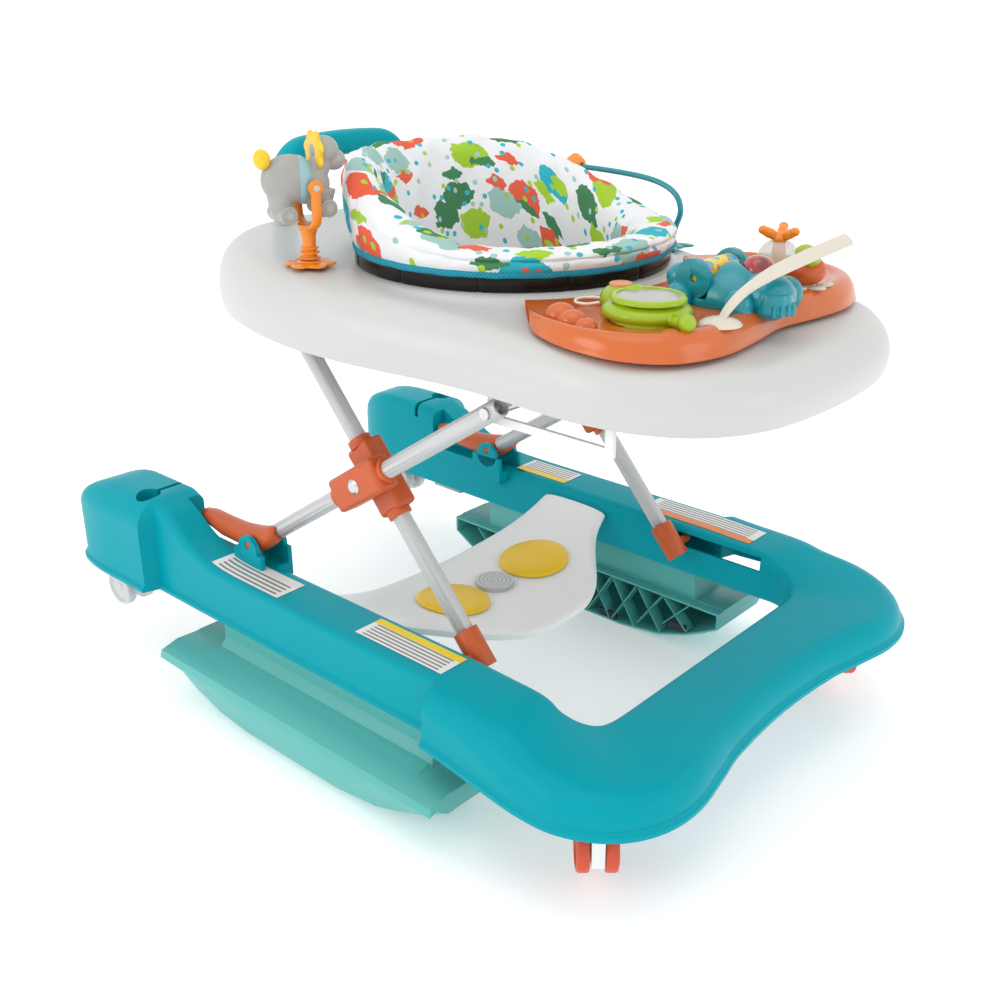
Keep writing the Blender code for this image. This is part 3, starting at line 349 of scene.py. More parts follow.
def block(low, high, hand=1):
    shape = bmesh.new()
    bmesh.ops.create_cube(shape, size=1)
    size, middle = Vector(high) - Vector(low), (Vector(high) + Vector(low)) / 2
    middle.x *= hand
    bmesh.ops.transform(shape, matrix=Matrix.Translation(middle) @ Matrix.Diagonal((*size, 1)),
                        verts=shape.verts)
    return shape


def bar(start, end, radius, sides=24, radius_end=None):
    """A straight round bar between two points."""
    start, end = Vector(start), Vector(end)
    shape = bmesh.new()
    bmesh.ops.create_cone(shape, cap_ends=True, segments=sides, radius1=radius,
                          radius2=radius if radius_end is None else radius_end,
                          depth=(end - start).length)
    turn = (end - start).to_track_quat("Z", "Y").to_matrix().to_4x4()
    bmesh.ops.transform(shape, matrix=Matrix.Translation((start + end) / 2) @ turn, verts=shape.verts)
    return shape


def carve(piece, tools, operation="DIFFERENCE"):
    """Applies Boolean tools to a piece, then drops them."""
    for tool in tools:
        bpy.context.scene.collection.objects.link(tool)
        step = piece.modifiers.new(tool.name, "BOOLEAN")
        step.operation, step.solver, step.object = operation, "EXACT", tool
    graph = bpy.context.evaluated_depsgraph_get()
    shaped = bpy.data.meshes.new_from_object(piece.evaluated_get(graph))
    piece.modifiers.clear()
    piece.data = shaped
    for tool in tools:
        bpy.data.objects.remove(tool, do_unlink=True)


counts = [6 if 13 <= i <= 22 else (1 if i in STEPS_AT else 3) for i in range(len(BASE_STATIONS) - 1)]
half = [eased_station(i + n / counts[i]) for i in range(len(counts)) for n in range(counts[i])]
half.append(Vector(BASE_STATIONS[-1]))
sections = {}
for inset in (0.0, WALL):
    rings = [base_section(station, 1, inset) for station in half]
    rings += [base_section(station, -1, inset) for station in reversed(half[:-1])]
    if inset:
        for ring in (rings[0], rings[-1]):
            for point in ring:
                point.y -= inset
    sections[inset] = rings
base_shell = show(lofted(sections[0.0]), "base_moulding", "base", teal_skin, 38, 0,
                  ("base_shell",))
hollow = cutter(lofted(sections[WALL]), "base_hollow")
bpy.context.scene.collection.objects.link(hollow)
floors = []
for hand in (-1, 1):
    floors.append(cutter(block((0.170, 0.095, 0.1465), (0.2045, 0.254, 0.24), hand), f"cradle_floor_{hand}"))
    floors.append(cutter(block((0.2120, 0.260, 0.160), (0.2460, 0.303, 0.24), hand), f"key_floor_{hand}"))
carve(hollow, floors)
bpy.context.scene.collection.objects.unlink(hollow)
carve(base_shell, [hollow])
PIVOT_Y, PIVOT_Z = 0.1402, 0.1759
raised, cuts = [], []
for hand in (-1, 1):
    raised.append(cutter(block((0.1655, 0.118, 0.135), (0.2062, 0.164, 0.1680), hand), f"cradle_{hand}"))
    raised.append(cutter(bar((hand * 0.1655, PIVOT_Y, 0.1700), (hand * 0.2062, PIVOT_Y, 0.1700), 0.0155, 48),
                         f"cradle_top_{hand}"))
    raised.append(cutter(bar((hand * 0.215, -0.335, 0.086), (hand * 0.215, -0.335, 0.128), 0.013), f"boss_{hand}"))
    raised.append(cutter(block((0.213, 0.342, 0.112), (0.237, 0.361, 0.1968), hand), f"axle_boss_{hand}"))
    cuts.append(cutter(block((0.1705, 0.098, 0.150), (0.2010, 0.250, 0.24), hand), f"notch_{hand}"))
    cuts.append(cutter(bar((hand * 0.150, PIVOT_Y, PIVOT_Z), (hand * 0.215, PIVOT_Y, PIVOT_Z), 0.0043), f"pivot_{hand}"))
    cuts.append(cutter(bar((hand * 0.230, 0.2815, 0.168), (hand * 0.230, 0.2815, 0.22), 0.0135, 48), f"keyhole_{hand}"))
    cuts.append(cutter(block((0.175, 0.2785, 0.184), (0.224, 0.2845, 0.22), hand), f"keyslot_{hand}"))
    cuts.append(cutter(block((0.170, -0.248, 0.1288), (0.190, -0.140, 0.1452), hand), f"pin_slot_{hand}"))
carve(base_shell, raised, "UNION")
carve(base_shell, cuts)
base_shell.data.shade_smooth()
base_shell.data.set_sharp_from_angle(angle=math.radians(34))


# The rails carry plain paper labels. Each is a thin printed sheet pressed on the flat top, with a
# coloured heading band and grey bars where a real one would carry its lines.
def label_finish(name, heading, rows):
    made = bpy.data.materials.new(name)
    made.use_nodes = True
    nodes, link = made.node_tree.nodes, made.node_tree.links.new
    shader = nodes["Principled BSDF"]
    shader.inputs["Roughness"].default_value = 0.32
    sheet_map = nodes.new("ShaderNodeUVMap")
    sheet_map.uv_map = "label"
    split = nodes.new("ShaderNodeSeparateXYZ")
    link(sheet_map.outputs["UV"], split.inputs[0])
    rows_wave = nodes.new("ShaderNodeMath")
    rows_wave.operation = "MULTIPLY"
    rows_wave.inputs[1].default_value = rows
    link(split.outputs["Y"], rows_wave.inputs[0])
    part = nodes.new("ShaderNodeMath")
    part.operation = "FRACT"
    link(rows_wave.outputs[0], part.inputs[0])
    line = nodes.new("ShaderNodeMath")
    line.operation = "GREATER_THAN"
    line.inputs[1].default_value = 0.55
    link(part.outputs[0], line.inputs[0])
    inside = nodes.new("ShaderNodeMath")
    inside.operation = "COMPARE"
    inside.inputs[1].default_value = 0.5
    inside.inputs[2].default_value = 0.44
    link(split.outputs["X"], inside.inputs[0])
    printed = nodes.new("ShaderNodeMath")
    printed.operation = "MULTIPLY"
    link(line.outputs[0], printed.inputs[0])
    link(inside.outputs[0], printed.inputs[1])
    paper = nodes.new("ShaderNodeMix")
    paper.data_type = "RGBA"
    paper.inputs["A"].default_value = (0.80, 0.80, 0.78, 1)
    paper.inputs["B"].default_value = (0.22, 0.22, 0.22, 1)
    link(printed.outputs[0], paper.inputs["Factor"])
    top = nodes.new("ShaderNodeMath")
    top.operation = "GREATER_THAN"
    top.inputs[1].default_value = 0.72
    link(split.outputs["Y"], top.inputs[0])
    banded = nodes.new("ShaderNodeMix")
    banded.data_type = "RGBA"
    banded.inputs["B"].default_value = (*heading, 1)
    link(top.outputs[0], banded.inputs["Factor"])
    link(paper.outputs["Result"], banded.inputs["A"])
    link(banded.outputs["Result"], shader.inputs["Base Color"])
    return made


def rail_top(y):
    """The height of a rail's flat top at a place along it."""
    tops = [(station[1], station[4]) for station in half if station[1] > -0.25]
    for (behind, high), (ahead, low) in zip(tops, tops[1:]):
        if ahead <= y <= behind and behind > ahead:
            return low + (high - low) * (y - ahead) / (behind - ahead)
    return 0.152


def label(name, inner_x, outer_x, front_y, back_y, finish):
    """A thin sheet on a rail's top, its map running along the rail."""
    shape = bmesh.new()
    bmesh.ops.create_grid(shape, x_segments=1, y_segments=24, size=0.5)
    bmesh.ops.transform(shape, verts=shape.verts, matrix=(
        Matrix.Translation(((inner_x + outer_x) / 2, (front_y + back_y) / 2, 0))
        @ Matrix.Diagonal((abs(outer_x - inner_x), back_y - front_y, 1, 1))))
    for vert in shape.verts:
        vert.co.z = rail_top(vert.co.y) + 0.0004
    sheet_map = shape.loops.layers.uv.new("label")
    for face in shape.faces:
        for loop in face.loops:
            across = (loop.vert.co.x - outer_x) / (inner_x - outer_x)
            loop[sheet_map].uv = ((loop.vert.co.y - front_y) / (back_y - front_y), across)
    extruded = bmesh.ops.extrude_face_region(shape, geom=list(shape.faces))["geom"]
    bmesh.ops.translate(shape, vec=(0, 0, 0.0003),
                        verts=[v for v in extruded if isinstance(v, bmesh.types.BMVert)])
    return show(shape, name, "base", finish)


white_label = label_finish("white_label", (0.72, 0.72, 0.72), 6)
yellow_label = label_finish("yellow_label", (0.85, 0.62, 0.02), 7)
amber_label = label_finish("amber_label", (0.80, 0.22, 0.03), 7)
label("label_right_back", -0.196, -0.2325, 0.060, 0.168, white_label)
label("label_right_front", -0.192, -0.226, -0.164, -0.050, yellow_label)
label("label_left_back", 0.192, 0.228, 0.035, 0.112, yellow_label)
label("label_left_front", 0.194, 0.232, -0.225, -0.080, amber_label)


# ---------------------------------------------------------------- rockers and stop pads
# Two mint rocker rails hang under the base, each a hollow moulding with its open side inwards,
# stiffened by crossed ribs and standing on black rubber feet.
mint_skin = moulded("mint_rocker_plastic", (0.090, 0.43, 0.405), 0.38, 900, 0.08, 0.08)
rubber = moulded("black_rubber", (0.018, 0.018, 0.018), 0.62, 500, 0.25, 0.2)
grey_skin = moulded("grey_plastic_part", (0.42, 0.43, 0.42), 0.42, 900, 0.08, 0.06)
for hand in (-1, 1):
    end = side_of(hand)
    rocker_body = "rocker_l" if hand > 0 else "rocker_r"
    rounded_copy(f"rocker_{end}", rocker_body, mint_skin, 30, 0, 0.0012)
    for row in range(-4, 5):
        middle = 0.037 * row
        over = max(0.0, abs(middle) + 0.016 - 0.070)
        rib_low = over * over / 0.43 + 0.003
        for lean in (-1, 1):
            rib = bar((hand * 0.1835, middle - 0.0165 * lean, rib_low + 0.001),
                      (hand * 0.1835, middle + 0.0165 * lean, 0.0585), 0.0011, 6)
            bmesh.ops.scale(rib, vec=(9, 1, 1), verts=rib.verts,
                            space=Matrix.Translation((-hand * 0.1835, 0, 0)))
            show(rib, f"rocker_rib_{end}_{row + 4}_{'a' if lean > 0 else 'b'}", rocker_body, mint_skin)
    for spot in (-0.150, -0.050, 0.050, 0.150):
        over = max(0.0, abs(spot) - 0.058)
        foot = block((0.1765, spot - 0.013, over * over / 0.43 + 0.0028),
                     (0.1795, spot + 0.013, over * over / 0.43 + 0.0120), hand)
        bmesh.ops.bevel(foot, geom=list(foot.edges), offset=0.0008, segments=2, profile=0.5,
                        affect="EDGES", material=-1)
        show(foot, f"rocker_foot_{end}_{spot:+.2f}".replace("+", "p").replace("-", "n"), rocker_body,
             rubber)
    for spot in ("rear", "front"):
        softened(f"stop_pad_{spot}_{end}", "base", grey_skin)


# ---------------------------------------------------------------- footboard
# A white sling-shaped board hangs between the rails, with two yellow pads and a grey printed disc.
foot_white = moulded("white_footboard_plastic", (0.86, 0.87, 0.86), 0.36, 1000, 0.06, 0.04)
yellow_skin = moulded("yellow_pad_plastic", (0.86, 0.56, 0.010), 0.34, 700, 0.1, 0.08)
rounded_copy("footrest_panel", "base", foot_white, 40, 2, 0.0008)
for hand in (-1, 1):
    rounded_copy(f"foot_pad_{side_of(hand)}", "base", yellow_skin, 50, 2, 0.0008)


def ringed_finish(name, ground, marks, count, scale):
    """A printed disc: rings and short rays in a second tone, about the disc's own centre."""
    made = moulded(name, ground, 0.34, 900, 0.05)
    nodes, link = made.node_tree.nodes, made.node_tree.links.new
    place = nodes.new("ShaderNodeTexCoord")
    spot = nodes.new("ShaderNodeMapping")
    spot.inputs["Location"].default_value = (0, 0.024 * scale, 0)
    spot.inputs["Scale"].default_value = (scale, scale, 0)
    link(place.outputs["Object"], spot.inputs["Vector"])
    rings = nodes.new("ShaderNodeTexWave")
    rings.wave_type, rings.rings_direction = "RINGS", "Z"
    rings.inputs["Scale"].default_value = count
    rings.inputs["Distortion"].default_value = 2.5
    rings.inputs["Detail"].default_value = 3
    link(spot.outputs[0], rings.inputs["Vector"])
    edge = nodes.new("ShaderNodeMath")
    edge.operation = "GREATER_THAN"
    edge.inputs[1].default_value = 0.72
    link(rings.outputs["Fac"], edge.inputs[0])
    mix = nodes.new("ShaderNodeMix")
    mix.data_type = "RGBA"
    mix.inputs["A"].default_value = (*ground, 1)
    mix.inputs["B"].default_value = (*marks, 1)
    link(edge.outputs[0], mix.inputs["Factor"])
    link(mix.outputs["Result"], nodes["Group"].inputs["Colour"])
    return made


softened("footrest_disc", "base",
         ringed_finish("printed_disc", (0.44, 0.46, 0.46), (0.66, 0.68, 0.66), 1.6, 45))


# ---------------------------------------------------------------- wheels
# Front casters: orange twin wheels that trail on a white swivel fork. Rear: grey fixed twin wheels.
# Each wheel is turned with a raised rim, a dished face and a hub boss.
wheel_orange = moulded("orange_wheel_plastic", (0.66, 0.075, 0.022), 0.40, 700, 0.1)
tyre_grey = moulded("pale_tyre_plastic", (0.60, 0.61, 0.62), 0.5, 700, 0.15)


def wheel_pair(name, body, middle, radius, finish, replaced, turned=None):
    """Two dished wheels on one axle, turned about the axle by a full spin."""
    x, y, z = middle
    shape = bmesh.new()
    profile = [(0.0, 0.0165), (0.0045, 0.0168), (0.0055, 0.0155), (0.0090, 0.0150),
               (radius - 0.0065, 0.0158), (radius - 0.0040, 0.0185), (radius - 0.0012, 0.0178),
               (radius, 0.0160), (radius, 0.0085), (radius - 0.0012, 0.0068), (radius - 0.0050, 0.0066),
               (0.0030, 0.0070), (0.0030, -0.0070), (radius - 0.0050, -0.0066),
               (radius - 0.0012, -0.0068), (radius, -0.0085), (radius, -0.0160),
               (radius - 0.0012, -0.0178), (radius - 0.0040, -0.0185), (radius - 0.0065, -0.0158),
               (0.0090, -0.0150), (0.0055, -0.0155), (0.0045, -0.0168), (0.0, -0.0165)]
    line = [shape.verts.new((x + across, y, z + reach)) for reach, across in profile]
    edges = [shape.edges.new(pair) for pair in zip(line, line[1:])]
    bmesh.ops.spin(shape, geom=line + edges, cent=middle, axis=(1, 0, 0), angle=math.tau, steps=48,
                   use_merge=True)
    bmesh.ops.remove_doubles(shape, verts=shape.verts, dist=1e-5)
    if turned:
        bmesh.ops.transform(shape, matrix=turned, verts=shape.verts)
    return show(shape, name, body, finish, 32, 0, (replaced,))


for hand in (-1, 1):
    end, short = side_of(hand), "l" if hand > 0 else "r"
    wheel_pair(f"caster_pair_{end}", f"caster_wheel_{short}", (hand * 0.215, -0.323, 0.042), 0.024,
               wheel_orange, f"caster_wheels_{end}",
               Matrix.Translation((hand * 0.215, -0.335, 0)) @ Matrix.Rotation(math.radians(-48), 4, "Z")
               @ Matrix.Translation((-hand * 0.215, 0.335, 0)))
    wheel_pair(f"rear_pair_{end}", f"rear_wheel_{short}", (hand * 0.225, 0.352, 0.067), 0.022,
               tyre_grey, f"rear_wheels_{end}")
    rounded_copy(f"caster_fork_{end}", f"caster_{short}", foot_white, 50, 0, 0.0010)
    rounded_copy(f"rear_fork_{end}", "base", foot_white, 50, 0, 0.0010)


# ---------------------------------------------------------------- scissor frame
# Steel tubes with a white powder coat, orange moulded hubs, shoes and end caps, and bright rivets.
def powder_coat():
    made = moulded("white_powder_coat", (0.56, 0.56, 0.57), 0.30, 1700, 0.16, 0.03, 0.1)
    made.node_tree.nodes["Principled BSDF"].inputs["Coat Weight"].default_value = 0.15
    return made


def bright_steel():
    made = moulded("bright_steel", (0.62, 0.62, 0.63), 0.26, 2200, 0.1, 0.06, 0.16)
    made.node_tree.nodes["Principled BSDF"].inputs["Metallic"].default_value = 1.0
    return made


coated, steel = powder_coat(), bright_steel()
frame_orange = moulded("orange_frame_plastic", (0.55, 0.090, 0.014), 0.36, 900, 0.08, 0.08, 0.12)
for hand in (-1, 1):
    end = side_of(hand)
    softened(f"lift_tube_{end}", "lift_frame", coated, 40)
    softened(f"slide_tube_{end}", "slide_frame", coated, 40)
    softened(f"hub_outer_{end}", "lift_frame", frame_orange, 30)
    softened(f"hub_inner_{end}", "slide_frame", frame_orange, 30)
    softened(f"pivot_shoe_{end}", "lift_frame", frame_orange, 45)
    rounded_copy(f"slider_cap_{end}", "slide_frame", frame_orange, 50, 0, 0.0010)
    softened(f"hub_rivet_{end}", "slide_frame", steel, 30)
    for share, body, angle, x in ((0.62, "lift_frame", -33.6, 0.182), (0.62, "slide_frame", 49.0, 0.158)):
        collar = bmesh.new()
        bmesh.ops.create_cone(collar, cap_ends=True, segments=40, radius1=0.0150, radius2=0.0150, depth=0.016)
        bmesh.ops.bevel(collar, geom=list(collar.edges), offset=0.0012, segments=2, profile=0.5,
                        affect="EDGES", clamp_overlap=True, material=-1)
        for ends in (-1, 1):
            ring = collar.copy()
            place = (Matrix.Translation((hand * (0.180 if body == "lift_frame" else 0.160), -0.021, 0.283))
                     @ Matrix.Rotation(math.radians(angle), 4, "X")
                     @ Matrix.Translation((0, ends * 0.0385, 0)) @ Matrix.Rotation(math.pi / 2, 4, "X"))
            bmesh.ops.transform(ring, matrix=place @ Matrix.Diagonal((0.76, 0.84, 0.55, 1)), verts=ring.verts)
            show(ring, f"{body}_collar_{end}_{'up' if ends > 0 else 'down'}", body, frame_orange,
                 30)
        collar.free()
for bar_name, bar_body in (("lift_crossbar", "lift_frame"), ("slide_crossbar", "slide_frame")):
    softened(bar_name, bar_body, steel, 40)


# ---------------------------------------------------------------- tray
# The play tray is one white shell, open underneath, with a rounded shoulder, a flat collar round
# the seat's hole, and guides and brackets for the frame under it.
rounded_copy("tray_shell", "tray", white_skin, 70, 2, 0.0004)
for hand in (-1, 1):
    end = side_of(hand)
    softened(f"tray_guide_{end}", "tray", foot_white, 30)
    softened(f"tray_bracket_{end}", "tray", foot_white, 30)


# The push handle is a teal arch with flattened legs that plug into the tray, and a moulded screw
# boss at each shoulder.
HANDLE_HALF, HANDLE_Y, HANDLE_FOOT, HANDLE_TOP, HANDLE_BEND = 0.082, 0.195, 0.4880, 0.5600, 0.034
path = [(-HANDLE_HALF, HANDLE_FOOT), (-HANDLE_HALF, 0.505), (-HANDLE_HALF, HANDLE_TOP - HANDLE_BEND)]
for step in range(1, 9):
    turn = math.pi * step / 16
    path.append((-HANDLE_HALF + HANDLE_BEND * (1 - math.cos(turn)),
                 HANDLE_TOP - HANDLE_BEND + HANDLE_BEND * math.sin(turn)))
path += [(x, z + 0.0015) for x, z in ((-0.024, HANDLE_TOP), (0.0, HANDLE_TOP + 0.0004))]
path += [(-x, z) for x, z in reversed(path[:-1])]
rings = []
for step, (x, z) in enumerate(path):
    back, ahead = path[max(0, step - 1)], path[min(len(path) - 1, step + 1)]
    along = Vector((ahead[0] - back[0], 0, ahead[1] - back[1])).normalized()
    inward = Vector((along.z, 0, -along.x))
    wide = 0.0130 + 0.0022 * max(0.0, 1 - (z - HANDLE_FOOT) / 0.02)
    ring = []
    for n in range(24):
        turn = math.tau * n / 24
        a, b = math.cos(turn), math.sin(turn)
        ring.append(Vector((x, HANDLE_Y, z)) + inward * wide * math.copysign(abs(a) ** 0.7, a)
                    + Vector((0, 0.0110 * math.copysign(abs(b) ** 0.7, b), 0)))
    rings.append(ring)
show(lofted(rings), "push_handle_arch", "tray", teal_skin, 50, 1, ("push_handle",))
for hand in (-1, 1):
    boss = bar((hand * 0.074, HANDLE_Y - 0.0100, 0.5480), (hand * 0.074, HANDLE_Y - 0.0122, 0.5480), 0.0044, 24, 0.0036)
    show(boss, f"handle_screw_{side_of(hand)}", "tray", rubber, 30)


# ---------------------------------------------------------------- swivel ring
# The seat hooks over a black ring that turns in the tray. Shallow gaps part it into segments, and a
# turquoise woven band binds the cushion's lower edge to it.
SEAT_Y = -0.049
gloss_black = moulded("black_ring_plastic", (0.008, 0.007, 0.006), 0.26, 1200, 0.04, 0.05, 0.12)
gloss_black.node_tree.nodes["Principled BSDF"].inputs["Specular IOR Level"].default_value = 0.2


def spun(profile, steps, closed=True):
    """A profile of (radius, height) points turned about the seat's upright axis."""
    shape = bmesh.new()
    line = [shape.verts.new((reach, 0, height)) for reach, height in profile]
    pairs = list(zip(line, line[1:])) + ([(line[-1], line[0])] if closed else [])
    edges = [shape.edges.new(pair) for pair in pairs]
    bmesh.ops.spin(shape, geom=line + edges, cent=(0, 0, 0), axis=(0, 0, 1), angle=math.tau,
                   steps=steps, use_merge=True)
    bmesh.ops.remove_doubles(shape, verts=shape.verts, dist=1e-6)
    return shape


ring = spun([(0.1335, 0.4868), (0.1500, 0.4868), (0.1514, 0.4862), (0.1520, 0.4848), (0.1520, 0.4752),
             (0.1512, 0.4737), (0.1496, 0.4733), (0.1398, 0.4733), (0.1395, 0.4720), (0.1395, 0.4562),
             (0.1335, 0.4562)], 288)
for vert in ring.verts:
    turn, reach = math.atan2(vert.co.y, vert.co.x), math.hypot(vert.co.x, vert.co.y)
    nearest = abs((turn / math.tau * 12 + 0.5) % 1 - 0.5) * math.tau / 12 * reach
    if reach > 0.145 and nearest < 0.0030 and vert.co.z < 0.4866:
        vert.co.x, vert.co.y = (value * (reach - 0.0016) / reach for value in (vert.co.x, vert.co.y))
bmesh.ops.translate(ring, verts=ring.verts, vec=(0, SEAT_Y, 0))
show(ring, "swivel_ring", "seat", gloss_black, 30, 0, ("seat_ring",))


def textured_cloth(name, threads, depth, roughness=0.85):
    """A woven cloth read off the piece's own flat layout, in metres: its threads bump the surface."""
    made = bpy.data.materials.new(name)
    made.use_nodes = True
    nodes, link = made.node_tree.nodes, made.node_tree.links.new
    shader = nodes["Principled BSDF"]
    shader.inputs["Roughness"].default_value = roughness
    flat = nodes.new("ShaderNodeUVMap")
    flat.uv_map = "cloth"
    weave = []
    for angle in (0.785, -0.785):
        turned = nodes.new("ShaderNodeMapping")
        turned.inputs["Rotation"].default_value = (0, 0, angle)
        link(flat.outputs["UV"], turned.inputs["Vector"])
        wave = nodes.new("ShaderNodeTexWave")
        wave.wave_type, wave.bands_direction = "BANDS", "X"
        wave.inputs["Scale"].default_value = threads
        wave.inputs["Distortion"].default_value = 0.4
        link(turned.outputs[0], wave.inputs["Vector"])
        weave.append(wave)
    both = nodes.new("ShaderNodeMath")
    both.operation = "MAXIMUM"
    link(weave[0].outputs["Fac"], both.inputs[0])
    link(weave[1].outputs["Fac"], both.inputs[1])
    both.name = "Threads"
    bump = nodes.new("ShaderNodeBump")
    bump.inputs["Strength"].default_value = depth
    bump.inputs["Distance"].default_value = 0.0006
    link(both.outputs[0], bump.inputs["Height"])
    link(bump.outputs["Normal"], shader.inputs["Normal"])
    return made, flat, both


def laid_out(shape, lengths, steps_round):
    """Gives a turned piece its flat layout: the way round it, and the way along its section, in metres."""
    layer = shape.loops.layers.uv.new("cloth")
    for face in shape.faces:
        middle = face.calc_center_median()
        aim = math.atan2(middle.y - SEAT_Y, middle.x)
        for loop in face.loops:
            spot = loop.vert
            turn = math.atan2(spot.co.y - SEAT_Y, spot.co.x)
            turn += math.tau * round((aim - turn) / math.tau)
            loop[layer].uv = (turn * 0.150, lengths(spot))


band_cloth, band_flat, band_threads = textured_cloth("woven_band", 130, 0.9)
# The band's colour is darker in the hollows between its threads: painted shade, keyed to the same thread heights that
# bump the weave.
band_painted_shade_mix = band_cloth.node_tree.nodes.new("ShaderNodeMix")
band_painted_shade_mix.data_type = "RGBA"
band_painted_shade_mix.inputs["A"].default_value = (0.004, 0.11, 0.17, 1)
band_painted_shade_mix.inputs["B"].default_value = (0.012, 0.36, 0.50, 1)
band_cloth.node_tree.links.new(band_threads.outputs[0], band_painted_shade_mix.inputs["Factor"])
band_cloth.node_tree.links.new(band_painted_shade_mix.outputs["Result"],
                               band_cloth.node_tree.nodes["Principled BSDF"].inputs["Base Color"])
band = spun([(0.1500, 0.4856), (0.1524, 0.4854), (0.1537, 0.4866), (0.1542, 0.4886), (0.1540, 0.4910),
             (0.1528, 0.4926), (0.1500, 0.4924)], 192)
for vert in band.verts:
    turn = math.atan2(vert.co.y, vert.co.x)
    vert.co.z += 0.00025 * math.sin(turn * 23) + 0.0002 * math.sin(turn * 41 + 1)
bmesh.ops.translate(band, verts=band.verts, vec=(0, SEAT_Y, 0))
laid_out(band, lambda vert: vert.co.z, 192)
show(band, "binding_band", "seat", band_cloth, 50, 1)


# ---------------------------------------------------------------- seat cushion
# A padded liner rolls over the ring and drops into the hole: low in front, high behind. It has a
# fold seam round the front, upright seams that pinch it, and soft wrinkles.
def eased(value):
    value = min(1.0, max(0.0, value))
    return value * value * (3 - 2 * value)


def pad_back(turn):
    return eased((math.sin(turn) + 0.55) / 1.5)


CUSHION = [(0.1515, 0.00), (0.1545, 0.10), (0.1562, 0.24), (0.1568, 0.38), (0.1561, 0.50),
           (0.1547, 0.545), (0.1537, 0.56), (0.1546, 0.575), (0.1562, 0.64), (0.1560, 0.74),
           (0.1538, 0.86), (0.1490, 0.945), (0.1430, 0.99), (0.1370, 1.00), (0.1310, 0.975),
           (0.1250, 0.89), (0.1200, 0.75), (0.1160, 0.56), (0.1125, 0.30), (0.1100, 0.05),
           (0.1085, -0.035), (0.1075, -0.070), (0.1085, -0.092), (0.1120, -0.102), (0.1160, -0.102),
           (0.1195, -0.092), (0.1215, -0.060), (0.1240, -0.020), (0.1300, -0.006), (0.1380, -0.0020),
           (0.1500, -0.0015)]
cushion = spun(CUSHION, 288)
PAD_SEAMS = [math.radians(a) for a in (-98, -32, 22, 68, 112, 158, 202)]
for vert in cushion.verts:
    turn, reach, share = math.atan2(vert.co.y, vert.co.x), math.hypot(vert.co.x, vert.co.y), vert.co.z
    back = pad_back(turn)
    top = 0.509 + 0.063 * back
    height = 0.490 + (share * (top - 0.490) if share > 0 else share)
    lean = 0.008 * back * max(0.0, share)
    wrinkle = (0.0011 * math.sin(turn * 17 + 9 * share) + 0.0009 * math.sin(turn * 31 - 13 * share + 2)
               + 0.0008 * math.sin(turn * 7 + 25 * share * back + 1))
    soft = eased(share * 4) * (0.35 + 0.65 * back)
    seam = min(abs((turn - at + math.pi) % math.tau - math.pi) for at in PAD_SEAMS) * reach
    pinch = 0.0024 * math.exp(-(seam / 0.0045) ** 2) * eased(share * 3)
    middle = 0.1370
    outward = 1 if reach > middle else -1
    reach += lean + outward * (wrinkle * soft - pinch)
    height += soft * wrinkle * 0.8 - pinch * 0.8 * max(0.0, share)
    if 0.50 < share < 0.62 and outward > 0:
        reach += 0.0018 * eased(back * 3)
    vert.co = (reach * math.cos(turn), SEAT_Y + reach * math.sin(turn), height)


def cushion_length(vert):
    reach = math.hypot(vert.co.x, vert.co.y - SEAT_Y)
    back = pad_back(math.atan2(vert.co.y - SEAT_Y, vert.co.x))
    over = (0.1370 + 0.008 * back - reach) * 0.8
    return vert.co.z + over if over < 0 else 2 * (0.509 + 0.063 * back) - vert.co.z + over


laid_out(cushion, cushion_length, 192)


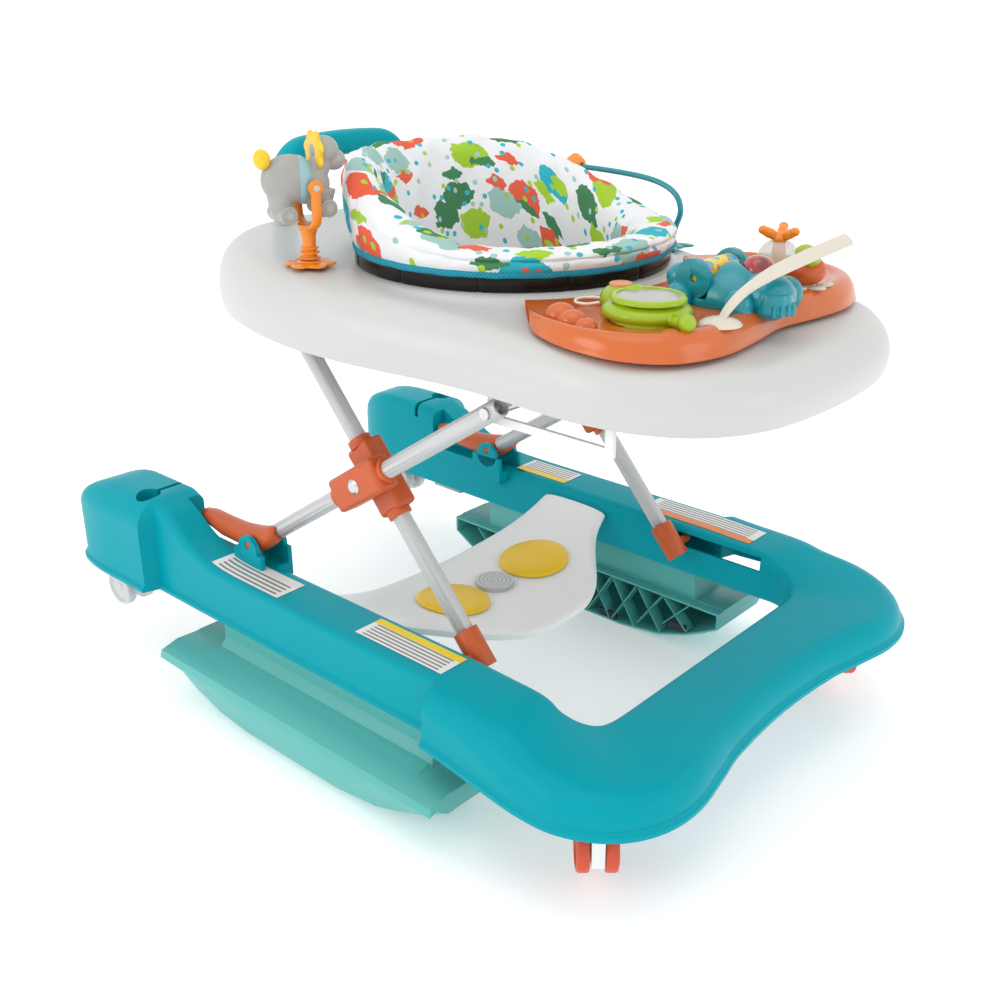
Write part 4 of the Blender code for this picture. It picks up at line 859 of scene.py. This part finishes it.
def printed_cloth():
    """White cotton with a playful print: big ragged shapes, leaves and dots, each in a plain colour."""
    made, flat, threads = textured_cloth("printed_cotton", 420, 0.25, 0.88)
    nodes, link = made.node_tree.nodes, made.node_tree.links.new
    wobble = nodes.new("ShaderNodeTexNoise")
    wobble.inputs["Scale"].default_value = 95
    wobble.inputs["Detail"].default_value = 2
    link(flat.outputs["UV"], wobble.inputs["Vector"])
    shift = nodes.new("ShaderNodeVectorMath")
    shift.operation = "MULTIPLY_ADD"
    link(wobble.outputs["Color"], shift.inputs[0])
    shift.inputs[1].default_value = (0.016, 0.016, 0)
    link(flat.outputs["UV"], shift.inputs[2])
    ground = nodes.new("ShaderNodeRGB")
    ground.outputs[0].default_value = (0.80, 0.81, 0.83, 1)
    last = ground.outputs[0]
    prints = (
        # scale, turn, stretch, size, share of cells printed, colours
        (24.0, 0.5, 0.75, 0.40, 0.72, [(0.02, 0.42, 0.52), (0.76, 0.11, 0.055), (0.33, 0.53, 0.49),
                                       (0.05, 0.20, 0.085), (0.34, 0.56, 0.03)]),
        (47.0, -0.6, 0.42, 0.30, 0.45, [(0.36, 0.60, 0.03), (0.05, 0.22, 0.09), (0.76, 0.12, 0.06)]),
        (80.0, 0.2, 1.0, 0.25, 0.34, [(0.36, 0.60, 0.03), (0.03, 0.44, 0.56), (0.35, 0.56, 0.52)]),
    )
    for number, (scale, turn, stretch, size, share, colours) in enumerate(prints):
        place = nodes.new("ShaderNodeMapping")
        place.inputs["Location"].default_value = (0.37 * number, 0.21 * number, 0)
        place.inputs["Rotation"].default_value = (0, 0, turn)
        place.inputs["Scale"].default_value = (stretch, 1, 1)
        link(shift.outputs[0] if number < 2 else flat.outputs["UV"], place.inputs["Vector"])
        cells = nodes.new("ShaderNodeTexVoronoi")
        cells.voronoi_dimensions = "2D"
        cells.inputs["Scale"].default_value = scale
        cells.inputs["Randomness"].default_value = 0.75
        link(place.outputs[0], cells.inputs["Vector"])
        pick = nodes.new("ShaderNodeSeparateColor")
        link(cells.outputs["Color"], pick.inputs["Color"])
        inside = nodes.new("ShaderNodeMath")
        inside.operation = "LESS_THAN"
        link(cells.outputs["Distance"], inside.inputs[0])
        inside.inputs[1].default_value = size
        chosen = nodes.new("ShaderNodeMath")
        chosen.operation = "LESS_THAN"
        link(pick.outputs["Green"], chosen.inputs[0])
        chosen.inputs[1].default_value = share
        mask = nodes.new("ShaderNodeMath")
        mask.operation = "MULTIPLY"
        link(inside.outputs[0], mask.inputs[0])
        link(chosen.outputs[0], mask.inputs[1])
        ramp = nodes.new("ShaderNodeValToRGB")
        ramp.color_ramp.interpolation = "CONSTANT"
        ramp.color_ramp.elements[0].position = 0.0
        ramp.color_ramp.elements[0].color = (*colours[0], 1)
        ramp.color_ramp.elements.remove(ramp.color_ramp.elements[1])
        for step, colour in enumerate(colours[1:], 1):
            ramp.color_ramp.elements.new(step / len(colours)).color = (*colour, 1)
        link(pick.outputs["Red"], ramp.inputs["Fac"])
        mix = nodes.new("ShaderNodeMix")
        mix.data_type = "RGBA"
        link(mask.outputs[0], mix.inputs["Factor"])
        link(last, mix.inputs["A"])
        link(ramp.outputs["Color"], mix.inputs["B"])
        last = mix.outputs["Result"]
    link(last, nodes["Principled BSDF"].inputs["Base Color"])
    return made


print_cloth = printed_cloth()
cushion_piece = show(cushion, "seat_cushion", "seat", print_cloth, 70, 1, ("seat_pad",))


# The crotch sling is one dark cloth band hung across the hole, from front to back.
SLING_TOP, SLING_LOW, SLING_STEPS = 0.3827, 0.345, 32
sling = bmesh.new()
sling_uv = sling.loops.layers.uv.new("cloth")
rim, travelled, sling_length = [], [], 0.0
for n in range(SLING_STEPS + 1):
    turn = math.pi * n / SLING_STEPS
    y = SEAT_Y - 0.1145 * math.cos(turn)
    z = SLING_TOP - (SLING_TOP - SLING_LOW) * math.sin(turn) ** 0.8
    if n:
        sling_length += math.hypot(y - rim[-1][0], z - rim[-1][1])
    rim.append((y, z))
    travelled.append(sling_length)
rows = []
for n, (y, z) in enumerate(rim):
    turn = math.pi * n / SLING_STEPS
    half = 0.045 + 0.017 * abs(math.cos(turn))
    rows.append([sling.verts.new((half * s, y, z + 0.0016 * math.cos(s * 9 + 5 * turn) * math.sin(turn)
                                  + 0.004 * s * s * math.sin(turn)))
                 for s in (k / 8 for k in range(-8, 9))])
for n, (row, after) in enumerate(zip(rows, rows[1:])):
    for k in range(16):
        face = sling.faces.new((row[k], row[k + 1], after[k + 1], after[k]))
        for loop, (col, line) in zip(face.loops, ((k, n), (k + 1, n), (k + 1, n + 1), (k, n + 1))):
            loop[sling_uv].uv = (0.007 * col, travelled[line])
navy, navy_flat, navy_threads = textured_cloth("navy_twill", 260, 0.5, 0.9)
# The sling's navy is darker in the hollows between its threads: painted shade, keyed to the same thread heights that
# bump the twill.
navy_painted_shade_mix = navy.node_tree.nodes.new("ShaderNodeMix")
navy_painted_shade_mix.data_type = "RGBA"
navy_painted_shade_mix.inputs["A"].default_value = (0.004, 0.030, 0.060, 1)
navy_painted_shade_mix.inputs["B"].default_value = (0.012, 0.085, 0.150, 1)
navy.node_tree.links.new(navy_threads.outputs[0], navy_painted_shade_mix.inputs["Factor"])
navy.node_tree.links.new(navy_painted_shade_mix.outputs["Result"],
                         navy.node_tree.nodes["Principled BSDF"].inputs["Base Color"])
sling_area = sum(face.calc_area() for face in sling.faces)
sling_piece = show(sling, "crotch_sling", "seat", navy, 60, 0, ("seat_sling",))
thick = sling_piece.modifiers.new("cloth thickness", "SOLIDIFY")
thick.thickness, thick.offset = 0.0016, 0
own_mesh(sling_piece)


# ---------------------------------------------------------------- toy crescent
# One glossy orange moulding wraps the front of the ring. It has a flat floor, a raised outer lip
# and a tall rounded skirt that follows the tray down, with small knuckles moulded by the near toy.
TOY_EDGE = [(-0.135, -0.188), (-0.165, -0.215), (-0.178, -0.260), (-0.172, -0.305),
            (-0.145, -0.338), (-0.100, -0.352), (-0.050, -0.350), (0.000, -0.344),
            (0.050, -0.350), (0.100, -0.352), (0.145, -0.338), (0.172, -0.305),
            (0.178, -0.260), (0.165, -0.215), (0.135, -0.188)]
TOY_FLOOR = 0.4728


def through(points, count):
    """Evenly counted points on a smooth curve through the given ones."""
    points = [Vector(point) for point in points]
    out = []
    for n in range(count):
        t = n / (count - 1) * (len(points) - 1)
        i = min(int(t), len(points) - 2)
        t -= i
        b, c = points[i], points[i + 1]
        a = points[i - 1] if i else 2 * b - c
        d = points[i + 2] if i + 2 < len(points) else 2 * c - b
        out.append(0.5 * (2 * b + (c - a) * t + (2 * a - 5 * b + 4 * c - d) * t * t
                          + (3 * b - a - 3 * c + d) * t ** 3))
    return out


centre, sections = Vector((0, SEAT_Y, 0)), []
edge = through([(x, y, 0) for x, y in TOY_EDGE], 72)
for i, point in enumerate(edge):
    out, far, near = (point - centre).normalized(), (point - centre).length, 0.1672
    ends = min(i, len(edge) - 1 - i)
    top = 0.4725 - (0.0045, 0.0022, 0.0008, 0.0)[min(ends, 3)]
    size = min(1.0, (far - near) / 0.075) * min(1.0, 0.5 + ends / 8)
    low_in = 0.470 + 0.060 * ((centre + out * near).y - SEAT_Y) + 0.0008
    low_out = 0.470 + 0.060 * (point.y - SEAT_Y) + 0.0010
    tall = top - low_out
    marks = [(near, low_in), (near, top - 0.0025), (near + 0.0010, top - 0.0008), (near + 0.0030, top),
             (far - 0.0270 * size, top), (far - 0.0235 * size, top + 0.0006 * size),
             (far - 0.0205 * size, top + 0.0024 * size), (far - 0.0170 * size, top + 0.0032 * size),
             (far - 0.0125 * size, top + 0.0030 * size), (far - 0.0080 * size, top + 0.0012 * size),
             (far - 0.0040, top - tall * 0.22), (far - 0.0015, top - tall * 0.50),
             (far - 0.0004, top - tall * 0.80), (far + 0.0008, low_out + 0.0010), (far + 0.0008, low_out)]
    sections.append([centre + out * reach + Vector((0, 0, height)) for reach, height in marks])
show(lofted(sections), "toy_crescent", "tray", orange_skin, 42, 1, ("toy_tray",))


def ball(shape, middle, radii, turn=0.0, lean=0.0):
    """Adds one rounded lobe to a shape that is then melded."""
    place = (Matrix.Translation(middle) @ Matrix.Rotation(math.radians(turn), 4, "Z")
             @ Matrix.Rotation(math.radians(lean), 4, "Y") @ Matrix.Diagonal((*radii, 1)))
    bmesh.ops.create_uvsphere(shape, u_segments=32, v_segments=20, radius=1, matrix=place)


def stick(shape, start, end, first, last):
    """Adds one tapering round limb to a shape that is then melded."""
    start, end = Vector(start), Vector(end)
    turn = (end - start).to_track_quat("Z", "Y").to_matrix().to_4x4()
    bmesh.ops.create_cone(shape, cap_ends=True, segments=28, radius1=first, radius2=last,
                          depth=(end - start).length, matrix=Matrix.Translation((start + end) / 2) @ turn)


def melded(shape, name, body, finish, replaced=(), voxel=0.0007, softness=6):
    """Overlapping lobes joined into one soft skin, as a blow-moulded toy has."""
    mesh = bpy.data.meshes.new(name)
    shape.to_mesh(mesh)
    shape.free()
    rough = bpy.data.objects.new(name + "_rough", mesh)
    bpy.context.scene.collection.objects.link(rough)
    remesh = rough.modifiers.new("skin", "REMESH")
    remesh.mode, remesh.voxel_size = "VOXEL", voxel
    smooth = rough.modifiers.new("soft", "SMOOTH")
    smooth.factor, smooth.iterations = 0.5, softness
    graph = bpy.context.evaluated_depsgraph_get()
    skin = bmesh.new()
    skin.from_mesh(bpy.data.meshes.new_from_object(rough.evaluated_get(graph)))
    bpy.data.objects.remove(rough, do_unlink=True)
    return show(skin, name, body, finish, 60, 0, replaced)


knuckles = bmesh.new()
for x, y, size in ((-0.1500, -0.2440, 0.0105), (-0.1430, -0.2260, 0.0120), (-0.1560, -0.2620, 0.0080)):
    ball(knuckles, (x, y, 0.4720), (size, size * 1.15, size * 0.95), 30)
stick(knuckles, (-0.1330, -0.3240, 0.4700), (-0.1330, -0.3240, 0.4762), 0.0080, 0.0060)
melded(knuckles, "crescent_knuckles", "tray", orange_skin, (), 0.0007, 4)


# ---------------------------------------------------------------- near toy
# A lime rounded toy with a small head, a nub at its front, and an oval mirror set in a raised rim.
lime_skin = moulded("lime_gloss_plastic", (0.32, 0.47, 0.004), 0.26, 1300, 0.03, 0.08, 0.1, 0.2)
mirror = moulded("foil_mirror", (0.50, 0.49, 0.47), 0.22, 600, 0.05, 0.05, 0.1)
mirror.node_tree.nodes["Principled BSDF"].inputs["Metallic"].default_value = 0.55
tan_skin = moulded("printed_tan_disc", (0.62, 0.25, 0.09), 0.35, 900, 0.05, 0.25)
near_toy = bmesh.new()
ball(near_toy, (-0.1060, -0.2830, TOY_FLOOR + 0.0070), (0.0345, 0.0365, 0.0118), 12)
stick(near_toy, (-0.1060, -0.2840, TOY_FLOOR + 0.0020), (-0.1070, -0.2850, TOY_FLOOR + 0.0165), 0.0325, 0.0270)
ball(near_toy, (-0.0865, -0.2430, TOY_FLOOR + 0.0070), (0.0190, 0.0170, 0.0120), 20)
stick(near_toy, (-0.0960, -0.2640, TOY_FLOOR), (-0.0920, -0.2540, TOY_FLOOR + 0.0160), 0.020, 0.012)
stick(near_toy, (-0.1160, -0.3120, TOY_FLOOR + 0.0060), (-0.1215, -0.3300, TOY_FLOOR + 0.0060), 0.0050, 0.0040)
ball(near_toy, (-0.1215, -0.3310, TOY_FLOOR + 0.0075), (0.0072, 0.0072, 0.0072))
melded(near_toy, "near_toy_body", "tray", lime_skin, ("turtle_toy",))


def disc(name, middle, radii, rise, turn, finish, rim=0.0, body="tray"):
    """A shallow oval plate, its edge rounded, with a raised rim when asked."""
    shape = bmesh.new()
    profile = ([(0.0, rise), (1 - rim, rise), (1.0 - rim * 0.9, rise + 0.0013), (1.0 - rim * 0.3, rise + 0.0013),
                (1.0, rise), (1.02, rise - 0.0012), (1.02, -0.002), (0.0, -0.002)] if rim else
               [(0.0, rise), (0.90, rise * 0.95), (0.98, rise * 0.6), (1.0, 0.0), (0.99, -0.002), (0.0, -0.002)])
    line = [shape.verts.new((reach, 0, height)) for reach, height in profile]
    edges = [shape.edges.new(pair) for pair in zip(line, line[1:])]
    bmesh.ops.spin(shape, geom=line + edges, cent=(0, 0, 0), axis=(0, 0, 1), angle=math.tau, steps=64,
                   use_merge=True)
    bmesh.ops.remove_doubles(shape, verts=shape.verts, dist=1e-5)
    place = (Matrix.Translation(middle) @ Matrix.Rotation(math.radians(turn), 4, "Z")
             @ Matrix.Diagonal((radii[0], radii[1], 1, 1)))
    bmesh.ops.transform(shape, matrix=place, verts=shape.verts)
    return show(shape, name, body, finish, 32)


disc("mirror_rim", (-0.1070, -0.2850, TOY_FLOOR + 0.0182), (0.0285, 0.0300), 0.0006, 12, lime_skin,
     0.16)
disc("mirror_face", (-0.1070, -0.2850, TOY_FLOOR + 0.0183), (0.0245, 0.0258), 0.0010, 12, mirror)
disc("near_toy_disc", (-0.0860, -0.2425, TOY_FLOOR + 0.0186), (0.0100, 0.0095), 0.0007, 0, tan_skin)


# The pull cord is a white braided loop that comes out of the near toy's head and goes back into it.
CORD = [(-0.1120, -0.2408, 0.4800), (-0.1150, -0.2300, 0.4775), (-0.1130, -0.2180, 0.4765),
        (-0.1040, -0.2110, 0.4765), (-0.0940, -0.2140, 0.4765), (-0.0890, -0.2240, 0.4770),
        (-0.0900, -0.2340, 0.4780), (-0.0925, -0.2425, 0.4800)]
cord_data = bpy.data.curves.new("pull_loop", "CURVE")
cord_data.dimensions, cord_data.bevel_depth, cord_data.bevel_resolution = "3D", 0.0012, 3
cord_data.use_fill_caps = True
cord_points = through(CORD, 64)
line = cord_data.splines.new("POLY")
line.points.add(len(cord_points) - 1)
for spot, point in zip(line.points, cord_points):
    spot.co = (*point, 1)
cord_skin = moulded("braided_cord", (0.80, 0.79, 0.76), 0.8, 2600, 0.7, 0.1, 0.05)
cord_data.materials.append(cord_skin)
cord_piece = bpy.data.objects.new("pull_loop", cord_data)
bpy.context.scene.collection.objects.link(cord_piece)
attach(cord_piece, "tray")
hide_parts("pull_cord")


# ---------------------------------------------------------------- centre toy
# A glossy teal rounded toy: a long body with a picture drum and a red button let into it, a low
# ribbed nose, and round feet.
gloss_teal = moulded("teal_gloss_plastic", (0.003, 0.255, 0.315), 0.22, 1300, 0.03, 0.1, 0.1, 0.3)
centre_toy = rounded_copy("whale_toy", "tray", gloss_teal, 42, 0, 0.0014)
nose = bmesh.new()
ball(nose, (-0.0150, -0.3370, TOY_FLOOR + 0.0100), (0.0230, 0.0240, 0.0200), -10)
stick(nose, (-0.0235, -0.3490, TOY_FLOOR), (-0.0225, -0.3480, TOY_FLOOR + 0.0150), 0.0160, 0.0140)
for k in range(5):
    turn = math.radians(-150 + 22 * k)
    x, y = -0.0235 + 0.0160 * math.cos(turn), -0.3490 + 0.0160 * math.sin(turn)
    stick(nose, (x, y, TOY_FLOOR), (x, y, TOY_FLOOR + 0.0095), 0.0019, 0.0013)
melded(nose, "centre_toy_nose", "tray", gloss_teal, (), 0.0006, 3)
feet = bmesh.new()
for x, y, wide, high in ((-0.0450, -0.2720, 0.0120, 0.0135), (-0.0430, -0.3270, 0.0125, 0.0150),
                         (0.0260, -0.3330, 0.0125, 0.0150), (0.0300, -0.2820, 0.0110, 0.0125)):
    ball(feet, (x, y, TOY_FLOOR + 0.0040), (wide, wide * 1.05, high))
ball(feet, (-0.0330, -0.2640, TOY_FLOOR + 0.0180), (0.0110, 0.0110, 0.0120))
melded(feet, "centre_toy_feet", "tray", gloss_teal, (), 0.0006, 4)


def jewel():
    """Clear red plastic over a faceted seat, under a deep gloss: darker and brighter cells painted into its colour as
    the facets' shade and glints.
    """
    made = moulded("red_jewel_plastic", (0.25, 0.004, 0.008), 0.08, 1200, 0.0, 0.1, 0.04, 1.0)
    nodes, link = made.node_tree.nodes, made.node_tree.links.new
    place = nodes.new("ShaderNodeTexCoord")
    cells = nodes.new("ShaderNodeTexVoronoi")
    cells.inputs["Scale"].default_value = 170
    link(place.outputs["Object"], cells.inputs["Vector"])
    pick = nodes.new("ShaderNodeSeparateColor")
    link(cells.outputs["Color"], pick.inputs["Color"])
    # Painted shade and painted glints: each facet cell is darkened or brightened as if it missed or caught the light.
    mix = nodes.new("ShaderNodeMix")
    mix.data_type = "RGBA"
    mix.inputs["A"].default_value = (0.05, 0.001, 0.002, 1)
    mix.inputs["B"].default_value = (0.50, 0.012, 0.015, 1)
    link(pick.outputs["Red"], mix.inputs["Factor"])
    link(mix.outputs["Result"], nodes["Group"].inputs["Colour"])
    return made


button = merged_copy("press_dome")
show(button, "button_dome", "press_dome", jewel(), 60, 2, ("press_dome",))


def printed_drum():
    """A yellow drum printed with a blue band and an orange rosette repeated round it."""
    made = moulded("printed_drum", (0.80, 0.60, 0.05), 0.3, 900, 0.03)
    nodes, link = made.node_tree.nodes, made.node_tree.links.new
    place = nodes.new("ShaderNodeTexCoord")
    last = None
    for colour, scale, size in (((0.80, 0.60, 0.05), 70, 0.0), ((0.05, 0.42, 0.60), 62, 0.34),
                                ((0.78, 0.22, 0.03), 88, 0.30)):
        if last is None:
            last = colour
            continue
        cells = nodes.new("ShaderNodeTexVoronoi")
        cells.inputs["Scale"].default_value = scale
        cells.inputs["Randomness"].default_value = 0.4
        link(place.outputs["Object"], cells.inputs["Vector"])
        inside = nodes.new("ShaderNodeMath")
        inside.operation = "LESS_THAN"
        inside.inputs[1].default_value = size
        link(cells.outputs["Distance"], inside.inputs[0])
        mix = nodes.new("ShaderNodeMix")
        mix.data_type = "RGBA"
        link(inside.outputs[0], mix.inputs["Factor"])
        if isinstance(last, tuple):
            mix.inputs["A"].default_value = (*last, 1)
        else:
            link(last, mix.inputs["A"])
        mix.inputs["B"].default_value = (*colour, 1)
        last = mix.outputs["Result"]
    link(last, nodes["Group"].inputs["Colour"])
    return made


rounded_copy("picture_roller", "picture_roller", printed_drum(), 50, 1, 0.0008)


# ---------------------------------------------------------------- leaf, propeller and flower
# A cream blade springs out of an oval base and reaches over the front. Beside it an orange
# propeller stands in a lime ring under a clear bowl, and two-tone balls spin on a petal disc.
cream_skin = moulded("cream_plastic", (0.66, 0.61, 0.52), 0.38, 1200, 0.05, 0.12)
rounded_copy("leaf_stalk", "tray", cream_skin, 40, 2, 0.0006)
rounded_copy("lime_ring", "tray", lime_skin, 45, 1, 0.0008)
bowl = bmesh.new()
profile = [(0.0195 * math.cos(math.radians(a)), 0.0110 + 0.0210 * math.sin(math.radians(a)))
           for a in range(0, 66, 8)]
line = [bowl.verts.new((0.105 + reach, -0.278, TOY_FLOOR + rise)) for reach, rise in profile]
edges = [bowl.edges.new(pair) for pair in zip(line, line[1:])]
bmesh.ops.spin(bowl, geom=line + edges, cent=(0.105, -0.278, 0), axis=(0, 0, 1), angle=math.tau, steps=48,
               use_merge=True)
bmesh.ops.remove_doubles(bowl, verts=bowl.verts, dist=1e-6)
clear = moulded("clear_bowl_plastic", (0.80, 0.81, 0.80), 0.08, 900, 0.0, 0.02, 0.03)
clear.node_tree.nodes["Principled BSDF"].inputs["Alpha"].default_value = 0.30
bowl_piece = show(bowl, "clear_bowl", "tray", clear, 60)
wall = bowl_piece.modifiers.new("wall", "SOLIDIFY")
wall.thickness, wall.offset = 0.0010, 0
bright_orange = moulded("bright_orange_plastic", (0.86, 0.25, 0.010), 0.28, 1200, 0.03, 0.08, 0.1, 0.2)
blades = bmesh.new()
stick(blades, (0.105, -0.278, TOY_FLOOR + 0.0075), (0.105, -0.278, TOY_FLOOR + 0.0300), 0.0080, 0.0050)
ball(blades, (0.105, -0.278, TOY_FLOOR + 0.0320), (0.0070, 0.0070, 0.0060))
for k in range(3):
    turn = math.radians(20 + 120 * k)
    x, y = 0.105 + 0.0100 * math.cos(turn), -0.278 + 0.0100 * math.sin(turn)
    ball(blades, (x, y, TOY_FLOOR + 0.0370), (0.0095, 0.0042, 0.0046), math.degrees(turn), -24)
    ball(blades, (x + 0.0062 * math.cos(turn), y + 0.0062 * math.sin(turn), TOY_FLOOR + 0.0400),
         (0.0040, 0.0046, 0.0040))
melded(blades, "propeller_blades", "propeller", bright_orange, ("propeller",), 0.0005, 5)
FLOWER = (0.069, -0.326)
petals = bmesh.new()
for k in range(6):
    turn = math.radians(60 * k + 10)
    ball(petals, (FLOWER[0] + 0.0150 * math.cos(turn), FLOWER[1] + 0.0150 * math.sin(turn),
                  TOY_FLOOR + 0.0030), (0.0095, 0.0068, 0.0018), 60 * k + 10, -8)
stick(petals, (*FLOWER, TOY_FLOOR + 0.0012), (*FLOWER, TOY_FLOOR + 0.0060), 0.0110, 0.0060)
melded(petals, "petal_disc", "flower_spinner", cream_skin, ("flower_spinner",), 0.0005, 3)
lower = bmesh.new()
ball(lower, (*FLOWER, TOY_FLOOR + 0.0160), (0.0170, 0.0170, 0.0130))
melded(lower, "flower_ball", "flower_spinner", frame_orange, (), 0.0006, 3)
upper = bmesh.new()
for k in range(2):
    turn = math.radians(180 * k + 40)
    ball(upper, (FLOWER[0] + 0.0085 * math.cos(turn), FLOWER[1] + 0.0085 * math.sin(turn),
                 TOY_FLOOR + 0.0285), (0.0110, 0.0095, 0.0080), 40)
melded(upper, "flower_cap", "flower_spinner", lime_skin, (), 0.0006, 3)


# ---------------------------------------------------------------- rocking animal
# An orange post turns on a flower-shaped foot and forks round a grey rocking toy. The toy has a
# saddle, round roller feet, a yellow star collar and a yellow tail ball.
YOKE_X, YOKE_Y, YOKE_LOW, YOKE_TURN = -0.170, 0.050, 0.47834, 75.0
PIN_Z = YOKE_LOW + 0.072
yoke_place = Matrix.Translation((YOKE_X, YOKE_Y, 0)) @ Matrix.Rotation(math.radians(YOKE_TURN), 4, "Z")


def yoked(piece_shape):
    """Turns a shape drawn about the post's own axis to where the post stands."""
    bmesh.ops.transform(piece_shape, matrix=yoke_place, verts=piece_shape.verts)
    return piece_shape


foot = bmesh.new()
for k in range(6):
    turn = math.radians(60 * k)
    ball(foot, (0.0125 * math.cos(turn), 0.0125 * math.sin(turn), YOKE_LOW + 0.0016),
         (0.0118, 0.0098, 0.0022), 60 * k)
stick(foot, (0, 0, YOKE_LOW), (0, 0, YOKE_LOW + 0.0050), 0.0180, 0.0100)
melded(yoked(foot), "post_foot", "tray", bright_orange, ("yoke_base",), 0.0006, 4)
fork = bmesh.new()
for low, high, first, last in ((0.0062, 0.0080, 0.0098, 0.0098), (0.0080, 0.0150, 0.0062, 0.0062),
                               (0.0110, 0.0130, 0.0092, 0.0092), (0.0150, 0.0170, 0.0085, 0.0085),
                               (0.0170, 0.0300, 0.0060, 0.0068), (0.0280, 0.0380, 0.0068, 0.0105)):
    stick(fork, (0, 0, YOKE_LOW + low), (0, 0, YOKE_LOW + high), first, last)
arm = through([(0, 0, 0.0352), (0.0105, 0, 0.0362), (0.0178, 0, 0.0402), (0.0205, 0, 0.0470),
               (0.0208, 0, 0.0560), (0.0208, 0, 0.0725)], 18)
for hand in (-1, 1):
    for a, b in zip(arm, arm[1:]):
        stick(fork, (hand * a.x, 0, YOKE_LOW + a.z), (hand * b.x, 0, YOKE_LOW + b.z), 0.0030, 0.0030)
        stick(fork, (hand * a.x, 0.0022, YOKE_LOW + a.z), (hand * b.x, 0.0022, YOKE_LOW + b.z), 0.0026, 0.0026)
        stick(fork, (hand * a.x, -0.0022, YOKE_LOW + a.z), (hand * b.x, -0.0022, YOKE_LOW + b.z), 0.0026, 0.0026)
    stick(fork, (hand * 0.0186, 0, PIN_Z), (hand * 0.0232, 0, PIN_Z), 0.0068, 0.0068)
melded(yoked(fork), "post_fork", "yoke", bright_orange, ("yoke",), 0.0006, 3)
for hand in (-1, 1):
    head = bar((hand * 0.0228, 0, PIN_Z), (hand * 0.0242, 0, PIN_Z), 0.0034, 24, 0.0028)
    show(yoked(head), f"fork_screw_{side_of(hand)}", "yoke", steel, 30)
toy_grey = moulded("grey_toy_plastic", (0.36, 0.36, 0.34), 0.36, 1100, 0.05, 0.1)
toy = bmesh.new()
ball(toy, (0, 0.0160, PIN_Z + 0.0060), (0.0158, 0.0260, 0.0220))
ball(toy, (0, -0.0020, PIN_Z + 0.0010), (0.0150, 0.0210, 0.0180))
stick(toy, (0, -0.0060, PIN_Z + 0.0040), (0, -0.0200, PIN_Z + 0.0250), 0.0120, 0.0095)
ball(toy, (0, -0.0200, PIN_Z + 0.0290), (0.0130, 0.0135, 0.0130))
ball(toy, (0, -0.0290, PIN_Z + 0.0205), (0.0105, 0.0110, 0.0095))
for at, low in ((0.0240, -0.0230), (-0.0150, -0.0200)):
    stick(toy, (0, at, PIN_Z - 0.004), (0, at + 0.001, PIN_Z + low + 0.004), 0.0135, 0.0105)
    stick(toy, (-0.0165, at, PIN_Z + low), (0.0165, at, PIN_Z + low), 0.0082, 0.0082)
    ball(toy, (0, at, PIN_Z + low), (0.0120, 0.0100, 0.0100))
stick(toy, (-0.0175, 0, PIN_Z), (0.0175, 0, PIN_Z), 0.0050, 0.0050)
melded(yoked(toy), "rocking_toy", "animal", toy_grey, ("rocking_animal",), 0.0007, 5)
for at, low in ((0.0240, -0.0230), (-0.0150, -0.0200)):
    for hand in (-1, 1):
        for radius, out in ((0.0062, 0.0172), (0.0034, 0.0178)):
            cap = bar((hand * 0.0150, at, PIN_Z + low), (hand * out, at, PIN_Z + low), radius, 28, radius * 0.88)
            show(yoked(cap), f"roller_{side_of(hand)}_{'back' if at > 0 else 'front'}_{radius * 1e4:.0f}",
                 "animal", toy_grey if radius > 0.004 else grey_skin, 30)
pale_blue = moulded("pale_blue_plastic", (0.27, 0.47, 0.50), 0.38, 1100, 0.05, 0.08)
saddle = bmesh.new()
ball(saddle, (0, 0.0060, PIN_Z + 0.0055), (0.0172, 0.0125, 0.0212))
melded(yoked(saddle), "toy_saddle", "animal", pale_blue, (), 0.0006, 2)
toy_yellow = moulded("yellow_toy_plastic", (0.86, 0.55, 0.008), 0.32, 1100, 0.04, 0.08, 0.1, 0.2)
star = bmesh.new()
for k in range(7):
    turn = math.radians(360 / 7 * k + 12)
    ball(star, (0.0140 * math.cos(turn), -0.0105, PIN_Z + 0.0290 + 0.0140 * math.sin(turn)),
         (0.0054, 0.0026, 0.0054))
stick(star, (0, -0.0128, PIN_Z + 0.0290), (0, -0.0082, PIN_Z + 0.0290), 0.0150, 0.0150)
ball(star, (0, 0.0400, PIN_Z + 0.0250), (0.0085, 0.0075, 0.0090))
melded(yoked(star), "toy_star_and_tail", "animal", toy_yellow, (), 0.0006, 3)


# ---------------------------------------------------------------- bead arch
# A teal wire arch over the far side of the tray, plugged into leaf-shaped feet, with an orange
# ridged bead that spins on its top bar.
rounded_copy("bead_arch", "tray", gloss_teal, 60, 1, 0.0003)
leaves = bmesh.new()
for x, y, rise in ((0.166, -0.120, 0.0), (0.166, 0.136, 0.0)):
    low = 0.470 + 0.060 * (y - SEAT_Y) + 0.0012
    for k in (-1, 0, 1):
        ball(leaves, (x + 0.010 * k, y - 0.004 * abs(k), low + 0.0010), (0.0075, 0.0160, 0.0022), 26 * k)
    stick(leaves, (x, y, low), (x, y, low + 0.0090), 0.0085, 0.0050)
melded(leaves, "arch_feet", "tray", gloss_teal, (), 0.0007, 3)
rounded_copy("slide_bead", "slide_bead", bright_orange, 40, 1, 0.0008)
